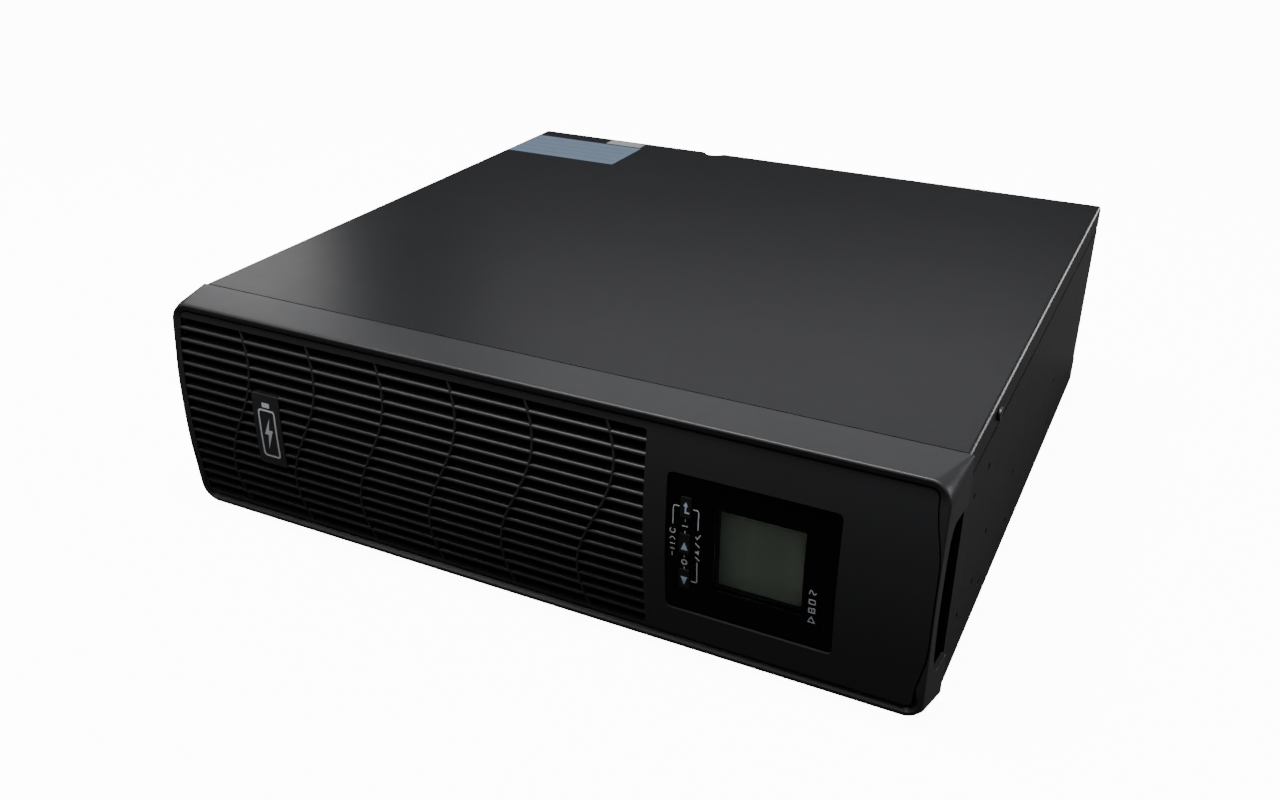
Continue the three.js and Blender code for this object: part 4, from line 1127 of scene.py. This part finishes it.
def make_screws():
    """Pan-head screws with a cross recess, at the fans' corners."""
    bm = bmesh.new()
    recess = bmesh.new()
    for x, z in FANS.values():
        for sx in (-1, 1):
            for sz in (-1, 1):
                cx, cz = x + sx * FAN_SCREW, z + sz * FAN_SCREW
                profile = [(r * MM, h * MM) for r, h in SCREW_HEAD]
                lathe(bm, profile, (cx, REAR_FACE + 0.3 * MM, cz), 24)
                outline = [(cx + u * MM, cz + v * MM) for u, v in SCREW_CROSS]
                prism(recess, outline, REAR_FACE + 1.6 * MM, REAR_FACE + 4 * MM)
    screws = from_bmesh("fan_screws", bm, DARK_SCREW, "case")
    cut(screws, recess)
    screws.data.set_sharp_from_angle(angle=math.radians(35))


# Centres of the sockets, x and z in mm, and the three pins about a socket's centre
INLET = (120, 96)
OUTLET_X = (-18, 12, 42, 72)
OUTLET_Z = (58, 96)
BATTERY_SOCKET = (28, 22)
USB_PORT = (163, 100)
NETWORK_JACK = (184, 98.6)
SERIAL_PORT = (185, 78)
PINS = ((-7, -1.5), (0, 2.2), (7, -1.5))


def blocks(name, boxes, material, edge):
    """Blocks with round edges, in mm: centre x and z, width, height, back and front."""
    bm = bmesh.new()
    for cx, cz, w, h, back, front in boxes:
        x0, x1 = (cx - w / 2) * MM, (cx + w / 2) * MM
        z0, z1 = (cz - h / 2) * MM, (cz + h / 2) * MM
        outline = rounded(x0, x1, z0, z1, edge * MM, 3)
        prism(bm, outline, REAR_FACE + back * MM, REAR_FACE + front * MM)
    from_bmesh(name, bm, material, "case", smooth=False)


def make_contacts():
    """Metal in the sockets: pins, blades and spring contacts."""
    steel, plastic = LOOKS["bare_steel"], LOOKS["black_plastic"]
    x, z = INLET
    pins = [(x + dx, z + dz, 2.25, 4.25, -16.8, -4.8) for dx, dz in PINS]
    blocks("inlet_pins", pins, steel, 0.6)
    slots = [(x + dx, z + dz) for x in OUTLET_X for z in OUTLET_Z for dx, dz in PINS]
    contacts = [(x, z, 1.9, 4.2, -9.8, -3.0) for x, z in slots]
    blocks("outlet_contacts", contacts, BRASS, 0.3)
    x, z = BATTERY_SOCKET
    blades = [(x + dx, z, 8.3, 2.3, -13.9, -3.8) for dx in (-8.5, 8.5)]
    blocks("battery_blades", blades, BRASS, 0.4)
    blocks("usb_tongue", [(*USB_PORT, 5.9, 3.3, -8.9, -1.2)], plastic, 0.3)
    x, z = NETWORK_JACK
    springs = [(x - 3.5 + i, z, 0.45, 3.0, -11.9, -3.0) for i in range(8)]
    blocks("jack_contacts", springs, BRASS, 0.1)
    bm = bmesh.new()
    x, z = SERIAL_PORT
    pin = [(0, 0), (0.5 * MM, 0), (0.5 * MM, 4.6 * MM), (0.3 * MM, 5.1 * MM), (0, 5.2 * MM)]
    for row, count in ((1.3, 5), (-1.3, 4)):
        for i in range(count):
            across = x + (i - (count - 1) / 2) * 2.6
            lathe(bm, pin, (across * MM, REAR_FACE - 1.0 * MM, (z + row) * MM), 12)
    from_bmesh("serial_pins", bm, BRASS, "case")


# ---------------------------------------------------------------- camera, floor and light

CAMERA_AT = (294.11 * MM, SEAM_Y - 475.23 * MM, 390.15 * MM)
CAMERA_AZIMUTH = 26.321
CAMERA_ELEVATION = 26.902
CAMERA_ROLL = 0.328
CAMERA_LENS = 34.365


def make_camera():
    data = bpy.data.cameras.new("camera")
    data.sensor_width = 36.0
    data.lens = CAMERA_LENS
    camera = bpy.data.objects.new("camera", data)
    bpy.context.scene.collection.objects.link(camera)
    a, e = math.radians(CAMERA_AZIMUTH), math.radians(CAMERA_ELEVATION)
    back = Vector((math.sin(a) * math.cos(e), -math.cos(a) * math.cos(e), math.sin(e)))
    right = (-back).cross(Vector((0, 0, 1))).normalized()
    up = right.cross(-back)
    turn = Matrix((right, up, back)).transposed()
    roll = Matrix.Rotation(math.radians(CAMERA_ROLL), 3, "Z")
    camera.matrix_world = Matrix.Translation(CAMERA_AT) @ (turn @ roll).to_4x4()
    bpy.context.scene.camera = camera


# How bright the floor and the sky are to the camera, and to nothing else
FLOOR_GLOW = 12.0


def make_floor():
    bm = bmesh.new()
    bmesh.ops.create_grid(bm, x_segments=8, y_segments=8, size=6.0)
    mesh = bpy.data.meshes.new("floor")
    bm.to_mesh(mesh)
    bm.free()
    material, nodes, links, shader = new_material("studio_floor")
    where = nodes.new("ShaderNodeTexCoord").outputs["Object"]
    cloud = noise(nodes, links, where, 1.5)
    pale = mixed(nodes, links, cloud, (0.93, 0.93, 0.935), (0.97, 0.97, 0.975))
    # The floor throws little light back up, as a studio's flagged sweep does
    seen = nodes.new("ShaderNodeLightPath").outputs["Is Camera Ray"]
    links.new(mixed(nodes, links, seen, (0.06, 0.06, 0.06), pale), shader.inputs["Base Color"])
    shader.inputs["Emission Color"].default_value = (1.0, 1.0, 1.0, 1.0)
    glow = spread(nodes, links, seen, 0.0, FLOOR_GLOW, 0.0, 1.0)
    links.new(glow, shader.inputs["Emission Strength"])
    shader.inputs["Roughness"].default_value = 0.95
    shader.inputs["Specular IOR Level"].default_value = 0.0
    mesh.materials.append(material)
    floor = bpy.data.objects.new("floor", mesh)
    floor.location.z = -0.2 * MM
    bpy.context.scene.collection.objects.link(floor)


def area_light(name, at, aim, size, power):
    """A lamp that the camera doesn't see; places and sizes in metres, power in watts."""
    data = bpy.data.lights.new(name, "AREA")
    data.shape = "RECTANGLE"
    data.size, data.size_y = size
    data.energy = power
    light = bpy.data.objects.new(name, data)
    light.location = at
    light.rotation_mode = "QUATERNION"
    light.rotation_quaternion = (Vector(aim) - Vector(at)).to_track_quat("-Z", "Y")
    light.visible_camera = False
    bpy.context.scene.collection.objects.link(light)


def make_world():
    world = bpy.data.worlds.new("studio")
    world.use_nodes = True
    nodes, links = world.node_tree.nodes, world.node_tree.links
    background = nodes["Background"]
    background.inputs["Color"].default_value = (0.93, 0.94, 0.96, 1.0)
    # The sky seen past the floor is pale; the light it gives is low
    seen = nodes.new("ShaderNodeLightPath").outputs["Is Camera Ray"]
    strength = spread(nodes, links, seen, 0.02, FLOOR_GLOW, 0.0, 1.0)
    links.new(strength, background.inputs["Strength"])
    bpy.context.scene.world = world


dress_nodes()
make_bezel()
make_front_panel()
make_slats()
make_ribs()
make_pocket()
make_badge()
make_legends()
for fan_side, (fan_x, fan_z) in FANS.items():
    make_guard(fan_side, fan_x, fan_z)
    make_rotor(fan_side, fan_x, fan_z)
make_screws()
make_contacts()
make_camera()
make_floor()
make_world()
area_light("top_light", (-0.4, -0.42, 3.2), (-0.4, -0.42, 0), (2.8, 0.8), 185)
area_light("rear_light", (-1.0, 2.5, 3.2), (0, 0, 0.1), (2.4, 0.8), 9)
area_light("left_glow", (-0.67, 0.28, 0.39), (-0.18, -0.16, 0.132), (0.2, 0.2), 0.32)
area_light("front_glow", (-0.14, 0.56, 0.55), (0.12, -0.16, 0.132), (0.7, 0.2), 0.5)
area_light("side_light", (2.3, 0.3, 0.9), (0.2, 0.0, 0.06), (1.0, 0.8), 22)
area_light("back_light", (1.3, 2.4, 0.5), (0.0, 0.2, 0.07), (1.0, 0.5), 18)
area_light("lip_light", (-0.65, -0.74, 0.95), (-0.15, -0.2, 0.0), (0.35, 0.25), 1.8)
